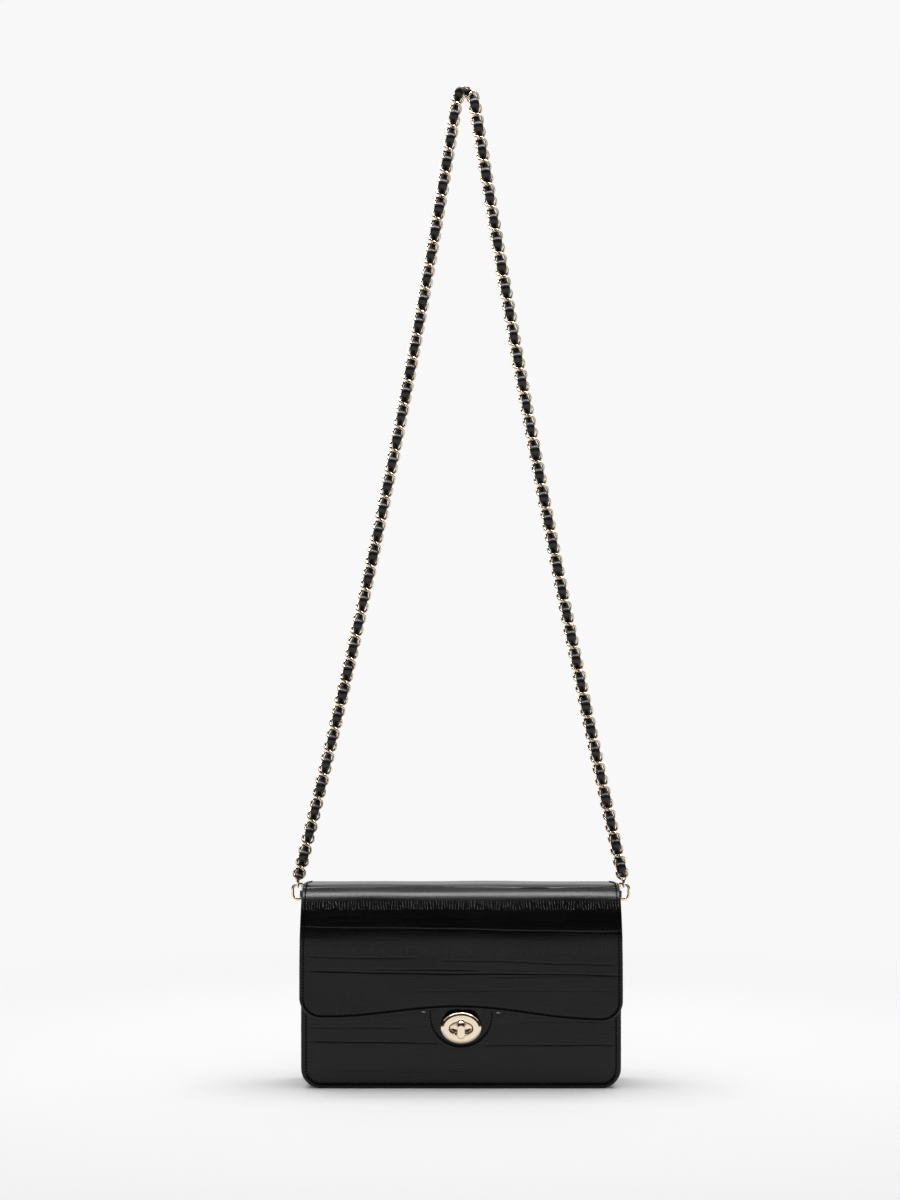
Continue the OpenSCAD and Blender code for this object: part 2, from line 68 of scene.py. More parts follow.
# %% Camera
PHOTO_SIZE = (900, 1200)
PIXEL = 0.65       # millimetres of the flap for a pixel of the photograph
FLAP_Y = -25.6
EYE_DISTANCE = 1700
EYE = (-7.2, FLAP_Y - EYE_DISTANCE, 318.5)
SENSOR = 24

camera_data = bpy.data.cameras.new("camera")
camera_data.sensor_fit = "VERTICAL"
camera_data.sensor_height = SENSOR
camera_data.lens = SENSOR * EYE_DISTANCE / (PIXEL * PHOTO_SIZE[1])
camera = link_up(bpy.data.objects.new("camera", camera_data))
camera.location = [v * MM for v in EYE]
camera.rotation_euler = (math.pi / 2, 0, 0)
bpy.context.scene.camera = camera
print("lens:", round(camera_data.lens, 1), "mm")

# %% [markdown]
# ## Shader maths as expressions
# A finish is a small network of nodes. Written out, each sum takes four lines. The class
# below wraps a socket, so that `0.2 + mask * noise` adds its own Math nodes. Each operator
# has its reflected form too, for a number on the left, so that `1 - mask` works. A second
# class has one method that adds any node, to a finish or to a tree that makes geometry.

# %% Sockets that can be added and multiplied
class Wire:
    """The output of a node."""
    def __init__(self, nodes, socket):
        self.nodes, self.socket = nodes, socket

    def math(self, operation, *others, clamp=False):
        settings = {"operation": operation, "use_clamp": clamp}
        return self.nodes.add("ShaderNodeMath", settings, dict(enumerate((self,) + others)))

    def __add__(self, other): return self.math("ADD", other)
    def __mul__(self, other): return self.math("MULTIPLY", other)
    def __sub__(self, other): return self.math("SUBTRACT", other)
    __radd__, __rmul__ = __add__, __mul__

    def __rsub__(self, other):
        return self.nodes.add("ShaderNodeMath", {"operation": "SUBTRACT"}, {0: other, 1: self})

    def ramp(self, low, high):
        """0 below low, 1 above high and smooth between them."""
        settings = {"interpolation_type": "SMOOTHSTEP"}
        values = {"Value": self, "From Min": low, "From Max": high}
        return self.nodes.add("ShaderNodeMapRange", settings, values)

class Nodes:
    """The nodes of any tree."""
    def __init__(self, tree):
        self.tree = tree
        tree.nodes.clear()

    def add(self, kind, settings=None, values=None, output=0):
        """Adds a node, sets it, feeds its sockets and gives one of its outputs."""
        node = self.tree.nodes.new(kind)
        for name, value in (settings or {}).items():
            setattr(node, name, value)
        for name, value in (values or {}).items():
            if isinstance(value, Wire):
                self.tree.links.new(value.socket, node.inputs[name])
            else:
                node.inputs[name].default_value = value
        return Wire(self, node.outputs[output]) if len(node.outputs) else None

print("operators:", [name for name in vars(Wire) if name.endswith(("add__", "mul__", "sub__"))])

# %% The nodes of a finish
class Finish(Nodes):
    """The nodes of a new material, or of the world."""
    def __init__(self, name, world=None):
        self.material = world or bpy.data.materials.new(name)
        self.material.use_nodes = True
        super().__init__(self.material.node_tree)

    def split(self, vector):
        """The three numbers of a vector."""
        first = self.add("ShaderNodeSeparateXYZ", None, {"Vector": vector})
        return [Wire(self, first.socket.node.outputs[i]) for i in range(3)]

    def join(self, x, y):
        return self.add("ShaderNodeCombineXYZ", None, {"X": x, "Y": y})

    def noise(self, vector, scale, detail=2.0, roughness=0.5):
        values = {"Vector": vector, "Scale": scale, "Detail": detail, "Roughness": roughness}
        return self.add("ShaderNodeTexNoise", None, values)

    def mix(self, factor, low, high):
        """A colour between two colours, each three numbers or another mix."""
        low, high = [end if isinstance(end, Wire) else end + (1,) for end in (low, high)]
        values = {0: factor, 6: low, 7: high}
        return self.add("ShaderNodeMix", {"data_type": "RGBA"}, values, 2)

    def place(self):
        """The point on the piece, in millimetres."""
        point = self.add("ShaderNodeTexCoord", None, None, "Object")
        settings = {"operation": "SCALE"}
        return self.add("ShaderNodeVectorMath", settings, {0: point, "Scale": 1 / MM})

    def lay(self):
        """Where a point lies on its hide: across it, along it, and in from its edge."""
        settings = {"attribute_type": "GEOMETRY", "attribute_name": "lay"}
        return self.add("ShaderNodeAttribute", settings, None, "Vector")

    def grain(self, across, along=0.0, detail=2.0, roughness=0.5):
        """Noise on a hide, with this many spots to the millimetre across it and along it."""
        x, s, _ = self.split(self.lay())
        return self.noise(self.join(x * across, s * along), 1.0, detail, roughness)

    def show(self, shader, kind="Material"):
        """Ends the finish in this shader and gives the material."""
        self.add("ShaderNodeOutput" + kind, None, {"Surface": shader})
        return self.material

    def surface(self, height, **values):
        """Ends the finish in a Principled shader, tilted by a height in millimetres."""
        bump = {"Strength": 1.0, "Distance": MM, "Height": height}
        named = {name.replace("_", " "): value for name, value in values.items()}
        named["Normal"] = self.add("ShaderNodeBump", None, bump)
        return self.show(self.add("ShaderNodeBsdfPrincipled", None, named))

# %% [markdown]
# ## Floor and light
# A wide soft box hangs over the bag and lights it, but doesn't show in reflections. A
# narrower strip lamp shows only in them: the rolled flap mirrors it as a pale streak, and
# the upright leather mirrors the pale floor. Between the two, the roll looks forward into
# the dark part of the studio, so a plain black band runs along it. A dark card that only
# shows in reflections gives that band, and two more at the sides draw the metal's dark
# lines. The floor turns into plain white away from the bag, so that it meets the background
# without an edge and still holds the bag's shadow.

# %% Floor and background
WHITE, AMBIENT = 0.94, 0.4
FLOOR_PAINT = (0.9, 0.9, 0.9, 1)
FLOOR_GLOW = (0.32, 0.75)  # how far from the bag the floor starts and ends its turn to white
FLOOR_HALF = 6

def ray_seen(finish):
    """1 for rays that show the background: those of the camera, of gloss and of glass."""
    node = finish.add("ShaderNodeLightPath").socket.node
    names = ("Is Camera Ray", "Is Glossy Ray", "Is Transmission Ray")
    seen = [Wire(finish, node.outputs[name]) for name in names]
    return (seen[0] + seen[1]).math("ADD", seen[2], clamp=True)

floor_finish = Finish("pale_floor")
point = floor_finish.add("ShaderNodeTexCoord", None, None, "Object")
settings = {"operation": "LENGTH"}
reach = floor_finish.add("ShaderNodeVectorMath", settings, {0: point}, "Value")
away = reach.ramp(*FLOOR_GLOW) * ray_seen(floor_finish)
paint = floor_finish.add("ShaderNodeBsdfDiffuse", None, {"Color": FLOOR_PAINT})
glow = floor_finish.add("ShaderNodeEmission", None, {"Color": (WHITE, WHITE, WHITE, 1)})
floor_mix = floor_finish.add("ShaderNodeMixShader", None, {0: away, 1: paint, 2: glow})
floor_finish.show(floor_mix)

def plane(name, corners, material):
    mesh = bpy.data.meshes.new(name)
    mesh.from_pydata(corners, [], [tuple(range(len(corners)))])
    mesh.materials.append(material)
    item = link_up(bpy.data.objects.new(name, mesh))
    return item

corners = ((-1, -1), (1, -1), (1, 1), (-1, 1))
plane("floor", [(x * FLOOR_HALF, y * FLOOR_HALF, 0) for x, y in corners], floor_finish.material)

world = bpy.data.worlds.new("studio")
bpy.context.scene.world = world
sky = Finish("studio", world)
level = ray_seen(sky) * (WHITE - AMBIENT) + AMBIENT
sky_light = sky.add("ShaderNodeBackground", None, {"Color": (1, 1, 1, 1), "Strength": level})
sky.show(sky_light, "World")
print("floor:", 2 * FLOOR_HALF, "m wide")

# %% Soft box, strip lamp and dark cards
def lamp(name, size, at, watts):
    light = bpy.data.lights.new(name, "AREA")
    light.shape = "RECTANGLE"
    light.size, light.size_y = size
    light.energy = watts
    item = link_up(bpy.data.objects.new(name, light))
    item.location = at
    return item

soft_box = lamp("soft_box", (1.6, 0.9), (0, 0.12, 1.35), 16.5)
soft_box.visible_glossy = False
strip = lamp("strip_lamp", (1.7, 0.3), (0, -0.1, 1.4), 26)
strip.visible_diffuse = False

card_finish = Finish("dark_card")
card_finish.show(card_finish.add("ShaderNodeEmission", None, {"Color": (0.02, 0.02, 0.02, 1)}))
CARD_Y, CARD_LOW = -2.6, 0.02
OVER_X, OVER_Y, OVER_TOP = 3.5, -0.75, 2.4
SIDE_X, SIDE_Y, SIDE_TOP = 1.6, 2.2, 0.95

def side_card(x):
    return [(x, CARD_Y, CARD_LOW), (x, SIDE_Y, CARD_LOW),
            (x, SIDE_Y, SIDE_TOP), (x, CARD_Y, SIDE_TOP)]

cards = {
    "dark_card": [(-OVER_X, CARD_Y, CARD_LOW), (OVER_X, CARD_Y, CARD_LOW),
                  (OVER_X, OVER_Y, OVER_TOP), (-OVER_X, OVER_Y, OVER_TOP)],
    "left_card": side_card(-SIDE_X), "right_card": side_card(SIDE_X)}
for name, corners in cards.items():
    card = plane(name, corners, card_finish.material)
    for ray in ("camera", "diffuse", "shadow", "transmission"):
        setattr(card, "visible_" + ray, False)
print("lamps:", soft_box.data.energy, "and", strip.data.energy, "W,", len(cards), "cards")
bpy.context.scene.view_settings.view_transform = "Standard"

# %% [markdown]
# ## Finishes
# The leather is dyed black and pressed with the long, level grain of eel skin. It has a
# soft shine that is broken by fine streaks, by bands of short upright wrinkles and by
# creases. The wrinkles' ridges are painted pale grey as glints, and the one sharp fold is
# painted black as its shade. The finish reads where each point lies on its hide, so that
# the grain runs over the rolls as it does on the real bag.

# %% Leather
# Pale grey painted on the wrinkles as glints of their ridges: a painted highlight.
WRINKLE_GLINT_GREY = (0.2, 0.197, 0.19)
GATHER_FADE, GATHER_SWAY, WRINKLE_RATE, WRINKLE_SWAY = 1.6, 3, 1.75, 3.4
FOLD_SWAY, FOLD_DEPTH = 5, 0.7

def leather(name, tone, bands=(), shine=0.23, gloss=0.29, fold_at=None):
    """bands are (from, to, depth) along the hide, where it is gathered in upright wrinkles whose
    ridges are painted pale grey as glints.
    fold_at is where the hide has one sharp fold, painted black there as its shade."""
    finish = Finish(name)
    across, along, inward = finish.split(finish.lay())
    streak = finish.grain(0.02, 0.55, 4.0, 0.62)
    hair = finish.grain(0.09, 2.1, 3.0)
    pores = finish.grain(1.1, 1.5)
    cloud = finish.grain(0.018, 0.05)
    height = streak * 0.05 + hair * 0.028 + pores * 0.02
    rough = streak * 0.16 + cloud * 0.1 + (shine - 0.1)
    wrinkle_glint = painted_fold_shade = 0.0
    drift = along + (finish.grain(0.05, detail=1.0) - 0.5) * GATHER_SWAY
    for low, high, depth in bands:
        gather = drift.ramp(low, low + GATHER_FADE) * (1 - drift.ramp(high - GATHER_FADE, high))
        slant = across + (finish.grain(0.2, 0.12) - 0.5) * WRINKLE_SWAY
        fold = 1 - (slant * WRINKLE_RATE).math("SINE").math("ABSOLUTE").ramp(0.0, 0.42)
        patchy = finish.grain(0.4, 0.25, 1.0).ramp(0.3, 0.6)
        line = fold * gather * patchy
        height = height - line * depth
        # Each wrinkle's ridge gets a painted glint of pale grey.
        wrinkle_glint = wrinkle_glint + line * (depth * 2.5)
    if fold_at is not None:
        sway = (finish.grain(0.022) - 0.5) * FOLD_SWAY
        # Painted shade: along the fold the colour turns black and the surface rougher.
        painted_fold_shade = 1 - (along + sway - fold_at).math("ABSOLUTE").ramp(0.1, 0.9)
        height = height - painted_fold_shade * FOLD_DEPTH
        rough = rough + painted_fold_shade * 0.5
    tone_mix = (streak * 0.6 + cloud * 0.5).ramp(0.3, 0.8)
    worn = tuple(v * 1.8 + 0.001 for v in tone)
    colour = finish.mix(tone_mix + (1 - inward.ramp(0.0, 1.4)) * 0.5, tone, worn)
    colour = finish.mix(wrinkle_glint, colour, WRINKLE_GLINT_GREY)
    # The fold's painted shade: its colour is mixed towards black.
    colour = finish.mix(painted_fold_shade, colour, (0, 0, 0))
    return finish.surface(height, Base_Color=colour, Roughness=rough, Specular_IOR_Level=gloss)

BLACK = (0.0014, 0.0014, 0.0016)
flap_bands = [(21.4, 28.8, 0.36), (-8.6, -2.0, 0.05), (70, 78, 0.1), (112, 120, 0.12)]
outer_leather = leather("outer_leather", BLACK, flap_bands, fold_at=39.0)
body_leather = leather("body_leather", BLACK, [(-98, -92, 0.04)])
lace_leather = leather("lace_leather", (0.0066, 0.0058, 0.0052), shine=0.26, gloss=0.4)
print("leathers:", outer_leather.name, body_leather.name, lace_leather.name)

# %% [markdown]
# The cut edges of the leather are painted dark brown and rubbed smooth. The lining is a
# fine black twill, whose slanted ribs come from one wave. The thread is waxed, and its
# two plies show as a slanted ripple. The metal is polished brass with a pale gold plate:
# the plate is even, so only faint wiping marks vary its shine. On the chain, the metal deep
# between the links is painted dark brown as shade.

# %% Edge paint, thread and lining
def edge_paint():
    finish = Finish("edge_paint")
    cloud = finish.noise(finish.place(), 0.35, 3.0)
    colour = finish.mix(cloud, (0.006, 0.004, 0.003), (0.02, 0.011, 0.007))
    ripple = finish.noise(finish.place(), 1.6, 2.0)
    return finish.surface(ripple * 0.05, Base_Color=colour, Roughness=cloud * 0.2 + 0.25)

def thread(name, dark, light):
    finish = Finish(name)
    x, y, z = finish.split(finish.place())
    ply = (x * 3.1 + z * 2.3 + y * 1.9).math("SINE")
    fuzz = finish.noise(finish.place(), 2.4, 3.0)
    colour = finish.mix(fuzz, dark, light)
    return finish.surface(ply * 0.08 + fuzz * 0.05, Base_Color=colour,
                          Roughness=fuzz * 0.2 + 0.5, Specular_IOR_Level=0.05)

def twill():
    finish = Finish("lining_twill")
    across, along, _ = finish.split(finish.lay())
    rib = ((across + along) * 7.0).math("SINE") * 0.5 + 0.5
    slub = finish.grain(0.8, 4.0)
    worn = rib * 0.4 + slub * 0.4 + finish.grain(0.03, 0.03, 3.0) * 0.3
    colour = finish.mix(worn, (0.008, 0.0075, 0.007), (0.032, 0.03, 0.028))
    return finish.surface(rib * 0.05 + slub * 0.05, Base_Color=colour,
                          Roughness=slub * 0.1 + 0.72, Sheen_Weight=0.25, Sheen_Roughness=0.4)

painted_edge = edge_paint()
black_thread = thread("waxed_thread", (0.0004, 0.0004, 0.0004), (0.0022, 0.0022, 0.0022))
# Pale thread for the two beads that are painted highlights at the tab's top corners.
glint_thread = thread("painted_glint_thread", (0.25, 0.25, 0.24), (0.5, 0.5, 0.48))
lining = twill()
print("soft finishes:", painted_edge.name, black_thread.name, glint_thread.name, lining.name)

# %% Metal and fibre board
# Dark brown painted where links lie deep in each other: painted shade.
PAINTED_NOOK_SHADE = (0.09, 0.045, 0.022)

def plated(name, colour, shine, shade_nooks=False):
    """shade_nooks: the first part of "lay" says where the metal lies deep between links, and there
    it is painted dark brown as shade.
    """
    finish = Finish(name)
    wipe = finish.noise(finish.place(), 0.5, 3.0)
    marks = finish.noise(finish.place(), 3.0, 2.0)
    tint = finish.mix(wipe, colour, tuple(v * 0.95 for v in colour))
    # Painted shade between the links.
    if shade_nooks:
        tint = finish.mix(finish.split(finish.lay())[0], tint, PAINTED_NOOK_SHADE)
    return finish.surface(wipe * 0.006, Base_Color=tint, Metallic=1.0,
                          Roughness=wipe * 0.06 + marks * 0.03 + shine)

def fibre_board():
    finish = Finish("fibre_board")
    fibre = finish.noise(finish.place(), 1.2, 5.0, 0.7)
    colour = finish.mix(fibre, (0.1, 0.085, 0.07), (0.3, 0.26, 0.21))
    return finish.surface(fibre * 0.1, Base_Color=colour, Roughness=fibre * 0.2 + 0.7)

gold = plated("pale_gold", (0.95, 0.805, 0.62), 0.09)
chain_gold = plated("chain_gold", (0.89, 0.72, 0.52), 0.1, shade_nooks=True)
board = fibre_board()
print("finishes:", len(bpy.data.materials))

# %% [markdown]
# ## Hides
# Every leather or cloth piece is one sheet. It is laid out as a grid of points on its outer
# face, in rows along the hide and columns across it. From that grid come the back face, one
# thickness behind it, and a rounded, painted edge between the two. Each point also keeps
# where it lies on the hide and how far it is from a cut edge, for the grain and for the
# groove that a stitched seam pulls into the leather.

# %% Points and meshes
def step(low, high, value):
    """0 below low, 1 above high and smooth between them."""
    t = np.clip((value - low) / (high - low), 0, 1)
    return t * t * (3 - 2 * t)

def mesh_piece(name, points, faces, materials, which=None):
    """An object from points in millimetres, smooth shaded."""
    mesh = bpy.data.meshes.new(name)
    mesh.from_pydata((np.asarray(points, float) * MM).tolist(), [], faces)
    for material in materials:
        mesh.materials.append(material)
    if which is not None:
        mesh.polygons.foreach_set("material_index", np.asarray(which, np.int32))
    mesh.polygons.foreach_set("use_smooth", np.ones(len(mesh.polygons), bool))
    mesh.update()
    return link_up(bpy.data.objects.new(name, mesh))

def points_of(*parts):
    """Points from their coordinates. A single number or a row is spread over all of them."""
    return np.stack(np.broadcast_arrays(*parts), -1)

def note(mesh, name, vectors):
    """Keeps a vector for each point of a mesh, for a finish or a node tree to read."""
    store = mesh.attributes.new(name, "FLOAT_VECTOR", "POINT")
    store.data.foreach_set("vector", np.asarray(vectors, np.float32).ravel())

def unit(v):
    return v / np.maximum(np.linalg.norm(v, axis=-1, keepdims=True), 1e-9)

def bell(x, width):
    """1 at 0, falling away on both sides."""
    return np.exp(-(x / width) ** 2)

print("a soft step:", step(0, 1, np.linspace(0, 1, 5)).round(2))

# %% Build a hide from its grid
EDGE_STEPS = 6
RIM = 0.6                              # how far a painted edge bulges out
GROOVE_DEPTH, GROOVE_WIDTH = 0.26, 0.55
PUFF_HEIGHT, PUFF_WIDTH = 0.24, 0.9    # the swelling between a seam and the edge beside it

def around(rows, cols):
    """Indexes of the points round a grid: along its first row, up its last column and back."""
    grid = np.arange(rows * cols).reshape(rows, cols)
    return np.concatenate([grid[0, :-1], grid[:-1, -1], grid[-1, :0:-1], grid[:0:-1, 0]])

def sides_of(rows, cols, free):
    """1 for the points round a grid that lie on a cut edge, 0 where the hide goes on."""
    parts = [("first", cols - 1), ("right", rows - 1), ("last", cols - 1), ("left", rows - 1)]
    return np.concatenate([np.full(count, float(side in free)) for side, count in parts])

def hide(name, grid, lay, thickness, materials, body_slot, rim=RIM, relief=None,
         free=("first", "right", "last", "left"), stitch=None):
    """materials are those of the outer face, the cut edge and the back. free names the sides
    that are cut edges, and stitch is how far in from them a seam runs."""
    rows, cols = grid.shape[:2]
    normal = unit(np.cross(np.gradient(grid, axis=1), np.gradient(grid, axis=0)))
    ring = around(rows, cols)
    cut = sides_of(rows, cols, free)
    flat = lay.reshape(-1, 2)
    inward = np.min([np.hypot(*(flat - p).T) for p in flat[ring[cut > 0]]], axis=0)
    height = np.zeros(rows * cols) if relief is None else relief.ravel().copy()
    if stitch is not None:
        height -= GROOVE_DEPTH * bell(inward - stitch, GROOVE_WIDTH)
        height += PUFF_HEIGHT * bell(inward - stitch * 0.4, PUFF_WIDTH)
    height *= step(0.0, 0.5, inward)
    outer, n = grid.reshape(-1, 3), normal.reshape(-1, 3)
    face = outer + n * height[:, None]
    back = outer - n * thickness
    tangent = unit(np.roll(outer[ring], -1, 0) - np.roll(outer[ring], 1, 0))
    out = unit(np.cross(tangent, n[ring]))
    layers = [ring]
    points, spots = [face], [np.c_[flat, inward]]
    count = len(face)
    for k in range(1, EDGE_STEPS):
        a = math.pi * k / EDGE_STEPS
        move = out * (rim * math.sin(a) * cut)[:, None]
        points.append(outer[ring] + move - n[ring] * thickness / 2 * (1 - math.cos(a)))
        spots.append(np.c_[flat[ring], np.zeros(len(ring))])
        layers.append(count + np.arange(len(ring)))
        count += len(ring)
    points.append(back)
    spots.append(np.c_[flat, inward])
    layers.append(count + ring)
    faces, which = [], []
    cells = np.arange(rows * cols).reshape(rows, cols)
    a, b, c, d = cells[:-1, :-1], cells[:-1, 1:], cells[1:, 1:], cells[1:, :-1]
    front_quads = points_of(a, b, c, d).reshape(-1, 4)
    faces += front_quads.tolist() + (front_quads[:, ::-1] + count).tolist()
    which += [0] * len(front_quads) + [2] * len(front_quads)
    for k in range(EDGE_STEPS):
        one, two = layers[k], layers[k + 1]
        strip = points_of(one, two, np.roll(two, -1), np.roll(one, -1))
        faces += strip.tolist()
        which += [0 if k == 0 else 2 if k == EDGE_STEPS - 1 else 1] * len(strip)
    piece = mesh_piece(name, np.concatenate(points), faces, materials, which)
    note(piece.data, "lay", np.concatenate(spots))
    print(name, len(faces), "faces")
    return piece

# %% [markdown]
# ## The shape of the outer leather
# Seen from the side, the flap goes up the front of the bag, over a wide roll that tightens
# towards the top, back along the flat top and down over a small roll into the back. One
# number, the way along the hide, gives any point of that line. It is 0 where the front
# roll begins and grows over the top to the back. The surface is not quite even: leather
# that has been carried a little is softly wavy, and its creases run level.

# %% Side profile
BAG_H, HALF_W, BACK_Y = 131.5, 104.0, 21.0
LOW_R, HIGH_R, FOLD = 52.3923, 19.6077, math.radians(30)
ROLL_Z, TOP_ROLL_Y = 95.5, -1.6
HINGE_Y, BACK_R = 14.0, 7.0
LEATHER_T, LINING_T = 1.6, 0.8
MOUTH_Z = 106.5
FOLD_S = LOW_R * FOLD
TOP_S = FOLD_S + HIGH_R * (math.pi / 2 - FOLD)
HINGE_S = TOP_S + HINGE_Y - TOP_ROLL_Y
BACK_S = HINGE_S + BACK_R * math.pi / 2
SEAM_S = TOP_S + 8

def profile(s):
    """Y, Z and the outward direction of the bag's outline, this far along the hide."""
    low = np.clip(s, 0, FOLD_S) / LOW_R
    high = FOLD + np.clip(s - FOLD_S, 0, TOP_S - FOLD_S) / HIGH_R
    over = np.clip(s - HINGE_S, 0, BACK_S - HINGE_S) / BACK_R
    turn = np.where(s < FOLD_S, low, np.where(s < HINGE_S, high, math.pi / 2 + over))
    y = np.where(s < FOLD_S, FLAP_Y + LOW_R * (1 - np.cos(low)), TOP_ROLL_Y - HIGH_R * np.cos(high))
    z = np.where(s < FOLD_S, ROLL_Z + LOW_R * np.sin(low), BAG_H - HIGH_R + HIGH_R * np.sin(high))
    y = y + np.clip(s - TOP_S, 0, HINGE_S - TOP_S) + BACK_R * np.sin(over)
    z = z + np.minimum(s, 0) - BACK_R * (1 - np.cos(over)) - np.maximum(s - BACK_S, 0)
    return y, z, -np.cos(turn), np.sin(turn)

def half_width(s):
    """The flap flares a little towards its edge and is drawn in where it meets the back."""
    return 105.3 - 1.1 * step(-20, 45, s) - 1.9 * step(50, 66, s) + 1.9 * step(70, 92, s)

def waviness(x, s):
    """The slow, shallow waves of leather that has been carried."""
    slow = np.sin(0.041 * x + 0.055 * s + 0.6) * np.sin(0.047 * s + 1.1 + 0.01 * x)
    return 0.2 * slow + 0.09 * np.sin(0.088 * x - 0.03 * s + 2.0)

def hide_point(x, s, lift=0.0):
    y, z, ny, nz = profile(s)
    h = lift + waviness(x, s) * step(-49, -30, s)
    return points_of(x / HALF_W * half_width(s), y + ny * h, z + nz * h)

print("over the front roll:", round(TOP_S, 1), "mm, over the hinge:", round(BACK_S - HINGE_S, 1))

# %% Creases
# Each crease is (way along the hide, slope, from x, to x, depth, width, wobble).
FLAP_CREASES = [
    (40.4, -0.004, -110, 110, 0.4, 0.6, 0.9), (8.6, -0.016, -110, 110, 0.3, 0.42, 0.22),
    (-10.6, -0.022, -100, -30, 0.14, 0.4, 0.3), (-11.6, -0.02, -12, 98, 0.14, 0.4, 0.4),
    (-17.4, -0.006, -100, 8, 0.16, 0.38, 0.2), (-19.6, -0.012, -96, 104, 0.32, 0.42, 0.24),
    (-21.3, -0.008, 18, 84, 0.12, 0.35, 0.3), (-31.0, 0.003, -30, 98, 0.08, 0.4, 0.3),
    (15.2, 0.004, -104, -40, 0.07, 0.5, 0.3), (46.0, 0.004, -90, 60, 0.12, 0.6, 0.5),
    (96.0, 0.006, -104, 104, 0.25, 0.45, 0.5), (121.0, -0.008, -80, 104, 0.2, 0.4, 0.4),
    (148.0, 0.004, -104, 50, 0.28, 0.45, 0.4), (171.0, -0.003, -40, 104, 0.16, 0.4, 0.4),
]
BODY_CREASES = [
    (39.8, -0.006, -100, -34, 0.14, 0.4, 0.3), (30.0, -0.008, -97, -14, 0.3, 0.42, 0.22),
    (29.0, -0.006, 17, 101, 0.26, 0.42, 0.22), (11.8, 0.004, -88, 8, 0.16, 0.4, 0.3),
    (43.5, 0.004, 36, 96, 0.09, 0.4, 0.3), (62.0, 0.004, -104, 60, 0.2, 0.4, 0.3),
]

CREASE_END, CREASE_LIP = 6, 0.16

def creased(x, s, creases):
    """How far the creases press the surface in, with a soft lip beside each."""
    height = np.zeros(np.broadcast(x, s).shape)
    for at, slope, first, last, depth, width, wobble in creases:
        sway = np.sin(0.045 * x + at) + 0.5 * np.sin(0.117 * x + 2.3 * at)
        window = step(first - CREASE_END, first + CREASE_END, x)
        window = window * (1 - step(last - CREASE_END, last + CREASE_END, x))
        gap = (s - (at + slope * x + wobble * sway)) / width
        height += window * depth * (CREASE_LIP * bell(gap - 1.7, 1.0) - bell(gap, 1.0))
    return height

print("creases:", len(FLAP_CREASES), "on the flap and back,", len(BODY_CREASES), "in front")

# %% [markdown]
# ## The flap and the back
# The flap's lower edge is a shallow wave with rounded corners. On the real bag the flap and
# the back are one hide. Here it is cut at the flat top, where it never bends, because a
# piece can bend over one joint only: the flap over its front roll, the back over its hinge.

# %% Columns and edges
CORNER_STEPS, COLUMN = 16, 2.2

def columns(width, corner):
    """Places across a hide, closer together where its corners are round."""
    flat = width - corner
    bend = corner * (1 - np.cos(np.linspace(0, math.pi / 2, CORNER_STEPS + 1)))
    left = -width + bend[:-1]
    middle = np.linspace(-flat, flat, 2 * round(flat / COLUMN) + 1)
    return np.concatenate([left, middle, -left[::-1]])

def rounded_low(x, width, corner, low):
    """The lower outline of a hide whose bottom corners are round."""
    over = np.clip(np.abs(x) - (width - corner), 0, corner)
    return low + corner - np.sqrt(np.maximum(corner ** 2 - over ** 2, 0))

FLAP_MID, FLAP_LOW, FLAP_LOW_X, FLAP_CORNER, FLAP_SKEW = 52.2, 44.8, 88.0, 14.0, 1.1

def flap_edge(x, inset):
    """Height of the flap's edge, moved in from the cut by inset."""
    u = np.minimum(1, np.abs(x) / FLAP_LOW_X)
    wave = FLAP_LOW + (FLAP_MID - FLAP_LOW) * (1 + np.cos(math.pi * u)) / 2
    round_part = rounded_low(x, HALF_W - inset, FLAP_CORNER - inset, 0)
    return wave + inset + round_part - FLAP_SKEW * x / HALF_W

def grid_between(xs, low, high, rows):
    """x and way along for each point of a grid between two lines."""
    f = np.linspace(0, 1, rows)[:, None]
    return np.broadcast_to(xs, (rows, len(xs))), low + (high - low) * f

print("the edge is", flap_edge(0.0, 0).round(1), "mm high in the middle and",
      flap_edge(FLAP_LOW_X, 0).round(1), "near the side")

# %% Flap leather and back leather
FLAP_STITCH, BODY_STITCH = 2.5, 3.3
flap_xs = columns(HALF_W - RIM, FLAP_CORNER - RIM)
x, s = grid_between(flap_xs, flap_edge(flap_xs, RIM) - ROLL_Z, np.full(len(flap_xs), SEAM_S), 210)
outer_finishes = [outer_leather, painted_edge, body_leather]
flap_leather = hide(
    "flap_leather", hide_point(x, s), points_of(x, s), LEATHER_T, outer_finishes, "leather",
    relief=creased(x, s, FLAP_CREASES), free=("first", "right", "left"),
    stitch=FLAP_STITCH - RIM)

BODY_CORNER = 13.0
back_end = BACK_S + BAG_H - BACK_R - rounded_low(flap_xs, HALF_W - RIM, BODY_CORNER - RIM, RIM)
x, s = grid_between(flap_xs, np.full(len(flap_xs), SEAM_S), back_end, 190)
back_leather = hide(
    "back_leather", hide_point(x, s), points_of(x, s), LEATHER_T, outer_finishes, "leather",
    relief=creased(x, s, FLAP_CREASES), free=("right", "last", "left"),
    stitch=BODY_STITCH - RIM)

# %% [markdown]
# ## Front panel and gusset
# The gusset is one strip that runs down one side, under the bag and up the other. Its sides
# fold in a little, as a gusset does when the bag is nearly empty. The front panel is drawn
# back a little where it is sewn to it.

# %% Front panel
FRONT_Y = -21.0

def front_point(x, z):
    """The front panel is drawn in at its sides and base, and softly wavy beside the lock."""
    drawn = 0.7 * step(70, 104, np.abs(x)) + 0.5 * step(30, 0, z)
    soft = 0.12 * np.sin(0.05 * x + 1) * np.sin(0.07 * z) * step(26, 50, np.abs(x))
    return points_of(x * 1.004, FRONT_Y + drawn + soft, z)

